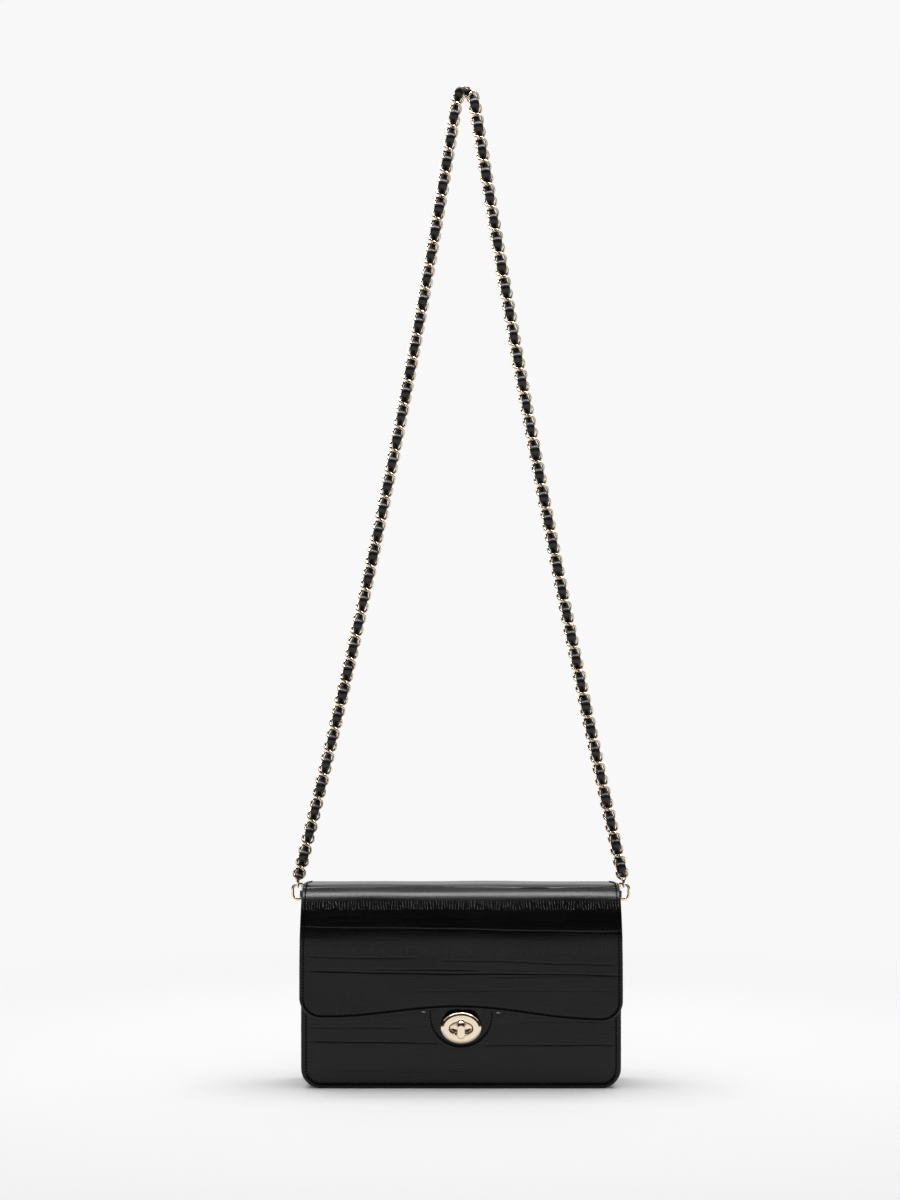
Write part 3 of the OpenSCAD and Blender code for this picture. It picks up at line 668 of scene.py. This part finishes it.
front_xs = columns(HALF_W - RIM, BODY_CORNER - RIM)
low = rounded_low(front_xs, HALF_W - RIM, BODY_CORNER - RIM, RIM)
x, z = grid_between(front_xs, low, np.full(len(front_xs), MOUTH_Z - RIM), 170)
body_finishes = [body_leather, painted_edge, lining]
front_leather = hide(
    "front_leather", front_point(x, z), points_of(x, z - 140), LEATHER_T, body_finishes,
    "leather", relief=creased(x, z, BODY_CREASES), stitch=BODY_STITCH - RIM)

# %% Gusset
GUSSET_T, SEAM_IN, GUSSET_BOW = 1.4, 0.9, (0.9, 3.6)

def round_the_sides(ys, inset, low_z, top_front, top_back, bow, rows=(60, 16, 70)):
    """A grid that runs down the left side, along the base and up the right side. bow is how
    far the sides fold in, low down and high up."""
    side_rows, corner_rows, base_rows = rows
    corner = BODY_CORNER - inset
    turn_x, turn_z = HALF_W - inset - corner, low_z + corner
    share = (ys - ys[0]) / (ys[-1] - ys[0])
    top = top_front + (top_back - top_front) * step(0.0, 1.0, share)
    fold = np.cos((share - 0.5) * math.pi) ** 2
    down = np.linspace(0, 1, side_rows)[:, None]
    z_side = top + (turn_z - top) * down
    deep = bow[0] + (bow[1] - bow[0]) * step(10, 105, z_side)
    side = points_of(-(HALF_W - inset) + deep * fold, ys, z_side)
    a = np.linspace(0, math.pi / 2, corner_rows + 1)[1:, None]
    depth = bow[0] * fold * (1 - 0.6 * a / (math.pi / 2))
    turn_r = corner - depth
    bend = points_of(-turn_x - turn_r * np.cos(a), ys, turn_z - turn_r * np.sin(a))
    xs = np.linspace(-turn_x, 0, base_rows + 1)[1:, None]
    base = points_of(xs, ys, low_z + 0.4 * bow[0] * fold)
    left = np.concatenate([side, bend, base])
    grid = np.concatenate([left, left[-2::-1] * [-1, 1, 1]])
    way = np.cumsum(np.r_[0, np.linalg.norm(np.diff(grid[:, 0], axis=0), axis=1)])
    return grid, points_of(ys, way[:, None])

ys = np.linspace(FRONT_Y + LEATHER_T + 0.7, BACK_Y - LEATHER_T, 34)
grid, lay = round_the_sides(ys, SEAM_IN, 0.4, MOUTH_Z, 124.0, GUSSET_BOW)
gusset_leather = hide("gusset_leather", grid, lay + [0, 300], GUSSET_T, body_finishes,
                      "leather", 0.0, free=("first", "last"))

# %% [markdown]
# ## Lining
# The inside is lined with one cloth on each wall. The flap's lining is hemmed a little
# inside its leather. The back's lining follows the leather over the hinge. A slip pocket
# lies on the back wall, and its open top edge is hemmed.

# %% Flap and back lining
DEEP = LEATHER_T + LINING_T
CLOTH_T, CLOTH_RIM, HEM = 0.7, 0.3, 1.0

def cloth(name, grid, lay, thickness=CLOTH_T, rim=CLOTH_RIM, **edges):
    return hide(name, grid, lay, thickness, [lining] * 3, "lining", rim, **edges)

cloth_xs = flap_xs[::-1]
hem = flap_edge(cloth_xs, RIM) - ROLL_Z + HEM
x, s = grid_between(cloth_xs * 0.991, hem, np.full(len(cloth_xs), SEAM_S), 120)
flap_cloth = cloth("flap_cloth", hide_point(x, s, -DEEP), points_of(x, s),
                   free=("first", "right", "left"))

def smooth_path(points, count):
    """Evenly spaced points on a soft curve through a few."""
    p = np.array([points[0]] + list(points) + [points[-1]], float)
    line = []
    for a, b, c, d in zip(p, p[1:], p[2:], p[3:]):
        t = np.linspace(0, 1, 24, endpoint=False)[:, None]
        square = (2 * a - 5 * b + 4 * c - d) * t ** 2
        cube = (3 * b - a - 3 * c + d) * t ** 3
        line.append(0.5 * (2 * b + (c - a) * t + square + cube))
    line = np.concatenate(line + [p[-1:]])
    way = np.r_[0, np.cumsum(np.linalg.norm(np.diff(line, axis=0), axis=1))]
    even = np.linspace(0, way[-1], count)
    return np.stack([np.interp(even, way, line[:, i]) for i in range(line.shape[1])], -1), even

LINING_Y = 16.2
over_s = np.linspace(SEAM_S, BACK_S - 1, 9)
oy, oz, ony, onz = profile(over_s)
over = points_of(oy - ony * DEEP, oz - onz * DEEP)
down = [(17.6, 121), (16.5, 115), (LINING_Y, 106), (LINING_Y, 60), (LINING_Y, 3.4)]
path, way = smooth_path(list(over) + down, 90)
cloth_xs = np.linspace(HALF_W - 2.4, -HALF_W + 2.4, 60)
narrow = 1 - 0.018 * step(112, 124, path[:, 1])[:, None]
back_cloth = cloth("back_cloth", points_of(cloth_xs * narrow, path[:, :1], path[:, 1:]),
                   points_of(cloth_xs, way[:, None]), free=("right", "last", "left"))

# %% Front lining, gusset lining and pocket
cloth_xs, cloth_top = front_xs[::-1] * 0.985, MOUTH_Z - 1.2
cloth_low = rounded_low(cloth_xs, 102.4, 11.4, 3.2)
x, z = grid_between(cloth_xs, cloth_low, np.full(len(cloth_xs), cloth_top), 60)
front_cloth = cloth("front_cloth", points_of(x, -17.4, z), points_of(x, z))

ys = np.linspace(LINING_Y - 0.2, -17.2, 24)
grid, lay = round_the_sides(
    ys, SEAM_IN + GUSSET_T + LINING_T, 3.8, 118.0, cloth_top, GUSSET_BOW, (40, 12, 40))
gusset_cloth = cloth("gusset_cloth", grid, lay, free=("first", "last"))

POCKET = {"half": 75.0, "low": 17.25, "high": 89.25, "y": 14.6}
pocket_xs = np.linspace(-POCKET["half"], POCKET["half"], 50)
x, z = grid_between(pocket_xs, np.full(50, POCKET["low"]), np.full(50, POCKET["high"]), 50)
belly = np.sin(math.pi * (x / POCKET["half"] / 2 + 0.5)) * step(POCKET["low"], POCKET["high"], z)
pocket_cloth = cloth("pocket_cloth", points_of(x, POCKET["y"] - 0.5 * belly, z),
                     points_of(x, z), 1.2, 0.4, stitch=3.0)

# %% [markdown]
# ## The lock
# A tab of leather hangs from the flap's edge and carries an oval eyelet. The oval base of
# the lock fills the eyelet, and its knob stands crosswise in front, which holds the flap
# shut. These pieces have a hole or a pole, so they are lofted from rings round the lock
# instead of from a grid.

# %% Lofts
LOCK_Z = 40.2
RING_POINTS = 96

def circle(count):
    """Angles once round."""
    return np.linspace(0, 2 * math.pi, count, endpoint=False)

def ring_of(w, h, y, count=RING_POINTS):
    """A closed oval ring round the lock."""
    a = circle(count)
    return points_of(w / 2 * np.cos(a), y, LOCK_Z + h / 2 * np.sin(a))

def skin(ids, closed=False):
    """Faces between the rows of a grid of points, where each row is a closed ring."""
    one = ids if closed else ids[:-1]
    two = np.roll(ids, -1, 0)[:len(one)]
    turned = [np.roll(row, -1, 1) for row in (one, two)]
    return points_of(one, turned[0], turned[1], two).reshape(-1, 4).tolist()

def loft(name, rings, materials, closed=True, which=0):
    """Joins rings into one skin. closed joins the last to the first, or else each end gets a
    fan of faces. which is the material of each step between two rings."""
    rings = np.array(rings)
    layers, count = rings.shape[:2]
    points = rings.reshape(-1, 3)
    ids = np.arange(layers * count).reshape(layers, count)
    faces = skin(ids, closed)
    kinds = np.repeat(np.broadcast_to(which, len(faces) // count), count).tolist()
    if not closed:
        for end, order in ((0, -1), (layers - 1, 1)):
            points = np.concatenate([points, rings[end].mean(0, keepdims=True)])
            fan = points_of(ids[end], np.roll(ids[end], -1), len(points) - 1)
            faces += fan[:, ::order].tolist()
            kinds += [0] * count
    piece = mesh_piece(name, points, faces, materials, kinds)
    print(name, len(faces), "faces")
    return piece

# %% Tab outline and tab
TAB_HALF, TAB_LOW, TAB_TOP = 23.2, 25.2, 69.0
TAB_Y, TAB_T = -23.2, 1.4
HOLE = (15.6, 8.7)

def tab_ring(inset, y):
    """The tab's outline as a ring of points at even angles round the lock."""
    r, top, mid = TAB_HALF - inset, TAB_TOP - inset, TAB_LOW + TAB_HALF
    a = np.linspace(math.pi, 2 * math.pi, 90)
    side = np.linspace(0, 1, 30)
    rise = (top - mid) * side
    flat = np.ones(len(side))
    xs = np.concatenate([r * np.cos(a), r * flat, r * (1 - 2 * side), -r * flat])
    zs = np.concatenate([mid + r * np.sin(a), mid + rise, top * flat, top - rise])
    angle = np.unwrap(np.arctan2(zs - LOCK_Z, xs))
    span = np.concatenate([angle - 2 * math.pi, angle, angle + 2 * math.pi])
    order = np.argsort(span)
    want = circle(RING_POINTS)
    x, z = [np.interp(want, span[order], np.tile(v, 3)[order]) for v in (xs, zs)]
    return points_of(x, y, z)

TAB_STITCH, TAB_PUFF = 3.3, 1.6
rings = [ring_of(*HOLE, TAB_Y - 0.02)]
for inset in (9.0, 7.0, 5.6, 4.9, 4.3, 3.8, 3.3, 2.8, 2.3, 1.8, 1.2, 0.6):
    groove = 0.22 * bell(inset - TAB_STITCH, 0.6) - 0.1 * bell(inset - TAB_PUFF, 0.8)
    rings.append(tab_ring(inset, TAB_Y + groove))
front_rings = len(rings)
for k in range(1, EDGE_STEPS):
    a = math.pi * k / EDGE_STEPS
    rings.append(tab_ring(RIM * (1 - math.sin(a)), TAB_Y + TAB_T / 2 * (1 - math.cos(a))))
rings += [tab_ring(RIM, TAB_Y + TAB_T), ring_of(*HOLE, TAB_Y + TAB_T)]
edge_part = [0] * front_rings + [1] * (EDGE_STEPS - 2) + [0] * 3
tab_leather = loft("tab_leather", rings, [body_leather, painted_edge], which=edge_part)
spots = np.array([v.co for v in tab_leather.data.vertices]) / MM
note(tab_leather.data, "lay", np.c_[spots[:, 0], spots[:, 2] - 220, np.full(len(spots), 9)])

# %% Eyelet and knob
# Each step of the eyelet is (width, height, y) from its hole over its domed rim to its back.
EYELET_FRONT, EYELET_BACK = -26.6, -23.25
INNER_LIP = [(0, 0.4), (0.2, 0.15), (0.7, 0.02), (1.4, 0)]
RIM_PROFILE = [(0, 0), (0.1, 0.012), (0.25, 0.07), (0.5, 0.22), (0.85, 0.46), (1.2, 0.73),
               (1.55, 1.04), (1.85, 1.36), (2.05, 1.66), (2.1, 1.85)]
EYELET = [(*HOLE, EYELET_BACK)]
EYELET += [(HOLE[0] + out, HOLE[1] + out, EYELET_FRONT + drop) for out, drop in INNER_LIP]
EYELET += [(22.6 + 2 * out, 16.6 + 2 * out, EYELET_FRONT + drop) for out, drop in RIM_PROFILE]
EYELET.append((26.8, 20.8, EYELET_BACK))
eyelet = loft("eyelet", [ring_of(*size, 160) for size in EYELET][::-1], [gold])

# The lock's base is dished round the knob. Each step is (width, height, y), from its back.
DISH = [
    (14.0, 7.1, -23.98), (14.0, 7.1, -24.9), (13.8, 6.9, -25.0), (13.5, 6.6, -25.02),
    (13.1, 6.2, -24.96), (12.2, 5.4, -24.78), (10.8, 4.6, -24.6), (8.8, 3.9, -24.5),
    (6.4, 3.2, -24.46), (3.6, 2.6, -24.45),
]
dish = loft("lock_dish", [ring_of(*size) for size in DISH][::-1], [gold], closed=False)

KNOB_W, KNOB_L, KNOB_BACK, KNOB_FRONT, KNOB_POINTS = 5.3, 12.4, -26.85, -30.1, 72
NOSE_STEPS = 6

def knob_ring(inset, y, lean=0.0):
    """A bar with round ends. lean moves its upper end down, which slopes the top of the bar."""
    r, run = KNOB_W / 2 - inset, (KNOB_L - KNOB_W) / 2
    a = circle(KNOB_POINTS)
    z = LOCK_Z - 0.5 + np.where(np.sin(a) >= 0, run - lean, -run) + r * np.sin(a)
    return points_of(r * np.cos(a), y, z)

stem = [(3.4, 3.4, -21.8), (3.4, 3.4, KNOB_BACK + 1.0), (3.4, 3.9, KNOB_BACK + 0.4)]
bar = [(0.9, 0.1), (0.4, 0), (0.08, -0.25), (0.0, -0.7, 0.15), (0.06, -1.5, 0.6)]
rings = [ring_of(*size, KNOB_POINTS) for size in stem]
rings += [knob_ring(inset, KNOB_BACK + y, *lean) for inset, y, *lean in bar]
for k in range(1, NOSE_STEPS + 1):
    a = math.pi / 2 * k / NOSE_STEPS
    y = KNOB_BACK - 1.9 - 1.3 * math.sin(a)
    rings.append(knob_ring(0.06 + 1.15 * (1 - math.cos(a)), y, 0.7 + 0.28 * k))
rings.append(knob_ring(1.8, KNOB_FRONT + 0.02, 2.5))
knob = loft("knob", rings[::-1], [gold], closed=False)

# %% [markdown]
# ## Stitches
# A row of saddle stitches runs inside every sewn edge. Each stitch is a short, slightly
# slanted bead of waxed thread, sunk into the groove that it pulled. There are hundreds of
# them, so Geometry Nodes set one bead on each point of a row, along the row and square to
# the leather.

# %% Tree that sets beads or links on points
def repeat_tree(name):
    """Sets a template object on points that know their way and the side they face."""
    tree = bpy.data.node_groups.new(name, "GeometryNodeTree")
    sockets = tree.interface
    sockets.new_socket("Geometry", in_out="OUTPUT", socket_type="NodeSocketGeometry")
    sockets.new_socket("Geometry", in_out="INPUT", socket_type="NodeSocketGeometry")
    inputs = {"Template": "Object", "Size": "Vector", "Finish": "Material"}
    for label, kind in inputs.items():
        sockets.new_socket(label, in_out="INPUT", socket_type="NodeSocket" + kind)

    nodes = Nodes(tree)
    entry = nodes.add("NodeGroupInput").socket.node.outputs
    given = {label: Wire(nodes, entry[label]) for label in ("Geometry", *inputs)}
    way, face = [
        nodes.add("GeometryNodeInputNamedAttribute", {"data_type": "FLOAT_VECTOR"},
                  {"Name": label}, "Attribute") for label in ("way", "face")]
    along = nodes.add("FunctionNodeAlignRotationToVector", {"axis": "Z"}, {"Vector": way})
    turned = nodes.add("FunctionNodeAlignRotationToVector", {"axis": "Y", "pivot_axis": "Z"},
                       {"Rotation": along, "Vector": face})
    dots = nodes.add("GeometryNodeMeshToPoints", None, {"Mesh": given["Geometry"]})
    values = {"Object": given["Template"]}
    shape = nodes.add("GeometryNodeObjectInfo", None, values, "Geometry")
    made = nodes.add("GeometryNodeInstanceOnPoints", None, {
        "Points": dots, "Instance": shape, "Rotation": turned, "Scale": given["Size"]})
    real = nodes.add("GeometryNodeRealizeInstances", None, {"Geometry": made})
    values = {"Geometry": real, "Material": given["Finish"]}
    done = nodes.add("GeometryNodeSetMaterial", None, values)
    nodes.add("NodeGroupOutput", None, {"Geometry": done})
    return tree

# %% Run the tree and keep a plain mesh
def repeated(name, tree, template, points, way, face, size, material):
    """Runs the tree on points and gives the result as one plain mesh."""
    mesh = bpy.data.meshes.new(name + "_points")
    mesh.from_pydata((np.asarray(points) * MM).tolist(), [], [])
    note(mesh, "way", way)
    note(mesh, "face", face)
    source = link_up(bpy.data.objects.new(name + "_points", mesh))
    modifier = source.modifiers.new("repeat", "NODES")
    modifier.node_group = tree
    given = {"Template": template, "Size": size, "Finish": material}
    for item in tree.interface.items_tree:
        if item.name in given:
            modifier[item.identifier] = given[item.name]
    graph = bpy.context.evaluated_depsgraph_get()
    solid = bpy.data.meshes.new_from_object(source.evaluated_get(graph))
    bpy.data.objects.remove(source)
    solid.name = name
    solid.polygons.foreach_set("use_smooth", np.ones(len(solid.polygons), bool))
    for label in ("way", "face"):
        if label in solid.attributes:
            solid.attributes.remove(solid.attributes[label])
    piece = link_up(bpy.data.objects.new(name, solid))
    print(name, len(points), "copies,", len(solid.polygons), "faces")
    return piece

# %% One stitch
def bead():
    """A short, slim bead along Z."""
    sides, outline = 6, [(-1.0, 0.3), (-0.72, 0.8), (0.0, 1.0), (0.72, 0.8), (1.0, 0.3)]
    a = circle(sides)
    points = [points_of(r * np.cos(a), r * np.sin(a), 0 * a + z) for z, r in outline]
    ids = np.arange(sides * len(outline)).reshape(-1, sides)
    faces = [ids[0][::-1].tolist(), ids[-1].tolist()] + skin(ids)
    return mesh_piece("bead", np.concatenate(points) / MM, faces, [black_thread])

bead_template = bead()
repeat = repeat_tree("set_on_points")
STITCH_PITCH, STITCH_SIZE, STITCH_SLANT = 2.1, (0.52, 0.42, 0.84), math.radians(22)

# %% Stitch along a line
STITCH_LIFT, NEAR = 0.02, 0.05

def stitched(name, line, point_at):
    """Stitches along a line of (x, way) on a surface given by point_at."""
    way = np.r_[0, np.cumsum(np.linalg.norm(np.diff(line, axis=0), axis=1))]
    at = np.arange(STITCH_PITCH / 2, way[-1], STITCH_PITCH)

    def on_line(where):
        return np.stack([np.interp(where, way, line[:, i]) for i in (0, 1)], -1)

    def move(dx, ds):
        spot = on_line(at)
        return point_at(spot[:, 0] + dx, spot[:, 1] + ds)

    normal = unit(np.cross(move(NEAR, 0) - move(-NEAR, 0), move(0, NEAR) - move(0, -NEAR)))
    dx, ds = (unit(on_line(at + NEAR) - on_line(at - NEAR)) * NEAR).T
    along = unit(move(dx, ds) - move(-dx, -ds))
    slant = along * math.cos(STITCH_SLANT) + np.cross(normal, along) * math.sin(STITCH_SLANT)
    return repeated(name, repeat, bead_template, move(0, 0) + normal * STITCH_LIFT, slant, normal,
                    [v * MM for v in STITCH_SIZE], black_thread)

def with_sides(edge, top, count):
    """A line of (x, way) that goes down one side, along the edge and up the other side."""
    left = points_of(edge[0, 0], np.linspace(top, edge[0, 1], count + 1)[:-1])
    return np.concatenate([left, edge, left[::-1] * [-1, 1]])

print("stitches:", round(10 / STITCH_PITCH, 1), "to the centimetre")

# %% Rows of stitches
edge_xs = columns(HALF_W - FLAP_STITCH, FLAP_CORNER - FLAP_STITCH)
edge = points_of(edge_xs, flap_edge(edge_xs, FLAP_STITCH) - ROLL_Z)
flap_stitches = stitched("flap_stitches", with_sides(edge, SEAM_S, 59), hide_point)

edge_xs = columns(HALF_W - BODY_STITCH, BODY_CORNER - BODY_STITCH)
low = rounded_low(edge_xs, HALF_W - BODY_STITCH, BODY_CORNER - BODY_STITCH, BODY_STITCH)
edge = points_of(edge_xs, low)
front_stitches = stitched("front_stitches", with_sides(edge, MOUTH_Z, 49), front_point)
edge = points_of(edge_xs, BACK_S + BAG_H - BACK_R - low)
back_stitches = stitched("back_stitches", with_sides(edge, SEAM_S, 59), hide_point)

TAB_SEWN_TOP = 62
low = tab_ring(TAB_STITCH, 0)[:, ::2]
low = low[low[:, 1] < TAB_SEWN_TOP]
low = low[np.argsort(np.arctan2(low[:, 1] - TAB_SEWN_TOP, low[:, 0]))]
tab_stitches = stitched("tab_stitches", low, lambda x, z: points_of(x, TAB_Y + 0.2, z))

# Two pale beads are painted highlights, where the tab's sides meet the flap's edge.
GLINT_X, GLINT_SIZE = np.array([-24.3, 24.3]), (0.45, 0.45, 1.4)
glint_spots = points_of(GLINT_X, -24.3, flap_edge(GLINT_X, 0) - 0.55)
glint_beads = repeated("tab_tacks", repeat, bead_template, glint_spots, [(1, 0, -0.06)] * 2,
                 [(0, -1, 0)] * 2, [v * MM for v in GLINT_SIZE], glint_thread)

pocket_edge = np.array([[-72, 88], [-72, 20.2], [72, 20.2], [72, 88]], float)
pocket_stitches = stitched(
    "pocket_stitches", pocket_edge, lambda x, z: points_of(x, POCKET["y"], z))

# %% [markdown]
# ## Strap
# The chain is made of curb links. A curb link starts as a plain oval ring of wire, and its
# two ends are then twisted opposite ways, so that a row of them lies flat. Each link is
# held by the next at a right angle to its own end. A puffy strip of leather runs through
# the links, in front of one joint and behind the next.

# %% Path of the strap
STRAP_Y, PITCH, LINK_R, WIRE_R, TWIST, PLAY = 18.8, 7.9, 3.6, 0.82, -64.0, 0.3
STRAP_TOP, LEAN, STRAP_X, LEG_END = 657.5, 3.0, 108.5, 132.55

def leg(side, sag):
    """Where links meet, from the top of the strap down one side."""
    top = np.array([LEAN + side * (PITCH / 2 + 1), STRAP_TOP])
    end = np.array([side * STRAP_X, LEG_END])
    count = round(np.linalg.norm(end - top) / PITCH)
    u = np.arange(1, count + 1)[:, None] / count
    line = top + u * (end - top) - np.c_[side * 4 * sag * u * (1 - u), 0 * u]
    return np.concatenate([[[LEAN + side * PITCH / 2, STRAP_TOP]], line])

left_leg, right_leg = leg(-1, 6.5), leg(1, 4.5)
joints = np.concatenate([left_leg[::-1], right_leg])
ways = np.diff(joints, axis=0)
print("links:", len(ways))

# %% Links
LINK_STEPS, LINK_SIDES, TWIST_POWER = 30, 8, 1.8

def tube(line, radius, sides):
    """Points round a closed line, as one ring of them for each of its points."""
    tangent = unit(np.roll(line, -1, 0) - np.roll(line, 1, 0))
    out = line - line.mean(0)
    radial = unit(out - tangent * np.sum(out * tangent, 1, keepdims=True))
    other = np.cross(tangent, radial)
    a = circle(sides)[None, :, None]
    return line[:, None] + radius * (np.cos(a) * radial[:, None] + np.sin(a) * other[:, None])

def curb_link():
    """One link along Z, in millimetres."""
    straight = PITCH + PLAY - 2 * (LINK_R - WIRE_R)
    arc = math.pi * LINK_R
    line = []
    for v in np.arange(LINK_STEPS) * (2 * math.pi * LINK_R + 2 * straight) / LINK_STEPS:
        half_turn, rest = divmod(v, arc + straight)
        sign = 1 if half_turn == 0 else -1
        if rest < arc:
            x, z = math.cos(rest / LINK_R), straight / 2 + LINK_R * math.sin(rest / LINK_R)
        else:
            x, z = -1, straight / 2 - (rest - arc)
        line.append((sign * LINK_R * x, 0, sign * z))
    line = np.array(line)
    reach = straight / 2 + LINK_R * 0.6
    share = np.minimum(np.abs(line[:, 2]) / reach, 1) ** TWIST_POWER
    turn = math.radians(TWIST) * np.sign(line[:, 2]) * share
    line = points_of(line[:, 0] * np.cos(turn), line[:, 0] * np.sin(turn), line[:, 2])
    spots = tube(line, WIRE_R, LINK_SIDES).reshape(-1, 3)
    faces = skin(np.arange(len(spots)).reshape(LINK_STEPS, LINK_SIDES), closed=True)
    link = mesh_piece("link", spots / MM, faces, [chain_gold])
    # How deep a point lies between links: there the chain is painted darker as shade.
    deep = 1 - np.clip((np.abs(spots[:, 1]) - 1.1) / 1.2, 0, 1)
    deep *= np.clip((np.abs(spots[:, 2]) - 2.4) / 0.8, 0, 1)
    note(link.data, "lay", np.c_[deep, deep, deep])
    return link

link_template = curb_link()
middles = (joints[:-1] + joints[1:]) / 2
spots = points_of(middles[:, 0], STRAP_Y, middles[:, 1])
along = unit(points_of(ways[:, 0], 0, ways[:, 1]))
facing = np.tile([0.0, 1.0, 0.0], (len(spots), 1))
chain = repeated("chain", repeat, link_template, spots, along, facing, [MM] * 3, chain_gold)

# %% Lace
LACE_W, LACE_FRONT, LACE_BACK, LACE_SWING = 6.1, 1.25, 0.6, 2.8
LACE_STEPS, LACE_SIDES = 8, 16

def soft_power(v, power):
    """A power that keeps the sign, which makes a round section squarer."""
    return np.sign(v) * np.abs(v) ** power

def lace_mesh():
    """A puffy strip: it swells in front of a joint and is pinched between the wires."""
    total = len(ways)
    t = np.arange(0.1 * LACE_STEPS, (total - 0.1) * LACE_STEPS) / LACE_STEPS
    k = np.minimum(t.astype(int), total - 1)
    smooth = joints[k] + (t - k)[:, None] * ways[k]
    for _ in range(3):
        smooth[1:-1] = (smooth[:-2] + 2 * smooth[1:-1] + smooth[2:]) / 4
    ahead = unit(np.gradient(smooth, axis=0))
    wave = np.cos(math.pi * t)
    out = -LACE_SWING * wave
    centre = points_of(smooth[:, 0], STRAP_Y + out, smooth[:, 1])
    wide = points_of(ahead[:, 1], 0, -ahead[:, 0])
    outward = unit(np.cross(unit(np.gradient(centre, axis=0)), wide))
    uneven = np.random.default_rng(7).uniform(-0.1, 0.1, total + 1)
    uneven = np.interp(t, np.arange(total + 1), uneven)
    half = LACE_W / 2 * (0.82 + 0.18 * wave + uneven)
    puff = 0.62 + 0.38 * np.abs(wave) ** 0.7 + uneven
    a = circle(LACE_SIDES)
    cx, sy = soft_power(np.cos(a), 0.8), soft_power(np.sin(a), 0.9)
    in_front = np.sign(out * outward[:, 1])[:, None] * np.sign(sy) > 0
    thick = np.where(in_front, LACE_FRONT, LACE_BACK) * sy * puff[:, None]
    across = half[:, None] * cx
    rings = (centre[:, None] + across[:, :, None] * wide[:, None]
             + thick[:, :, None] * outward[:, None])
    ids = np.arange(len(t) * LACE_SIDES).reshape(-1, LACE_SIDES)
    faces = skin(ids) + [ids[0][::-1].tolist(), ids[-1].tolist()]
    piece = mesh_piece("lace_strip", rings.reshape(-1, 3), faces, [lace_leather])
    note(piece.data, "lay", points_of(t[:, None] * PITCH, across, 9))
    print("lace_strip", len(faces), "faces")
    return piece

lace = lace_mesh()

# %% [markdown]
# ## Ring tabs
# A short strip of leather is folded round the straight side of each D-ring, and both its
# ends are sewn into the side seam.

# %% Ring tabs
BAR_X, RING_TAB_IN, RING_TAB_Z, RING_TAB_H, LOOP_R = 105.6, 96.0, 122.5, 4.0, 1.75

def ring_tab(name, side):
    a = np.linspace(-math.pi / 2, math.pi / 2, 17)
    leaf = np.linspace(RING_TAB_IN, BAR_X, 12)
    xs = np.concatenate([leaf[:-1], BAR_X + LOOP_R * np.cos(a), leaf[::-1][1:]])
    pinch = np.interp(xs, [RING_TAB_IN, BAR_X - 2.2, BAR_X, BAR_X + LOOP_R],
                      [0.75, 0.8, LOOP_R, LOOP_R])
    ys = STRAP_Y + pinch * np.concatenate([np.full(11, -1.0), np.sin(a), np.full(11, 1.0)])
    zs = np.linspace(-RING_TAB_H / 2, RING_TAB_H / 2, 12) + RING_TAB_Z
    grid = points_of(side * xs[:, None], ys[:, None], zs)
    if side > 0:
        grid = grid[:, ::-1]
    way = np.cumsum(np.r_[0, np.hypot(np.diff(xs), np.diff(ys))])
    lay = points_of(zs, way[:, None] + 500)
    return hide(name, grid, lay, 0.6, [body_leather, painted_edge, body_leather], "leather", 0.2,
                free=("right", "left"))

left_tab = ring_tab("ring_loop_left", -1)
right_tab = ring_tab("ring_loop_right", 1)

# %% [markdown]
# ## Finish the metal, say what moves and what replaces what
# The stiff metal nodes keep their shapes and get the gold. The soft pieces stand for the
# CAD nodes that they cover. The flap's and the back's pieces keep the places where they
# stand, and each other piece rides on one body.

# %% Metal and board
METAL_NODES = ("d_ring_left", "d_ring_right", "end_ring_left", "end_ring_right", "lock_base",
               "lock_backing", "click_spring", "toggle_washer", "eyelet_backing")
kept_nodes = dict.fromkeys(METAL_NODES, gold)
kept_nodes["base_board"] = board
for node, material in kept_nodes.items():
    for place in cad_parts[node].material_slots:
        place.material = material
print("CAD nodes that keep their shape:", len(kept_nodes))
for template in (bead_template, link_template):
    bpy.data.objects.remove(template)

on_bag = (front_leather, gusset_leather, front_cloth, gusset_cloth, pocket_cloth, dish,
          pocket_stitches, front_stitches, left_tab, right_tab)
riders = {"bag": on_bag, "flap_lower": (tab_leather, tab_stitches, glint_beads, eyelet),
          "toggle": (knob,), "strap": (chain, lace)}
for body, pieces in riders.items():
    print(body, "carries", len(pieces), "pieces")
    for piece in pieces:
        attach(piece, body)
for piece in (flap_leather, flap_cloth, flap_stitches):
    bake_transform(piece)
for piece in (back_leather, back_cloth, back_stitches):
    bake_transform(piece)

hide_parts("flap_top", "flap_front")
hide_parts("flap_top_lining", "flap_front_lining")
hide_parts("back_panel")
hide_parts("back_lining")
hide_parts("front_panel")
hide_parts("gusset")
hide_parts("front_lining")
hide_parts("gusset_lining")
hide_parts("slip_pocket")
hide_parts("lock_tab")
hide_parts("eyelet_plate")
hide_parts("toggle_knob")
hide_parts("chain_left", "chain_right")
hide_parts("lace")
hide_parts("ring_tab_left")
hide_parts("ring_tab_right")
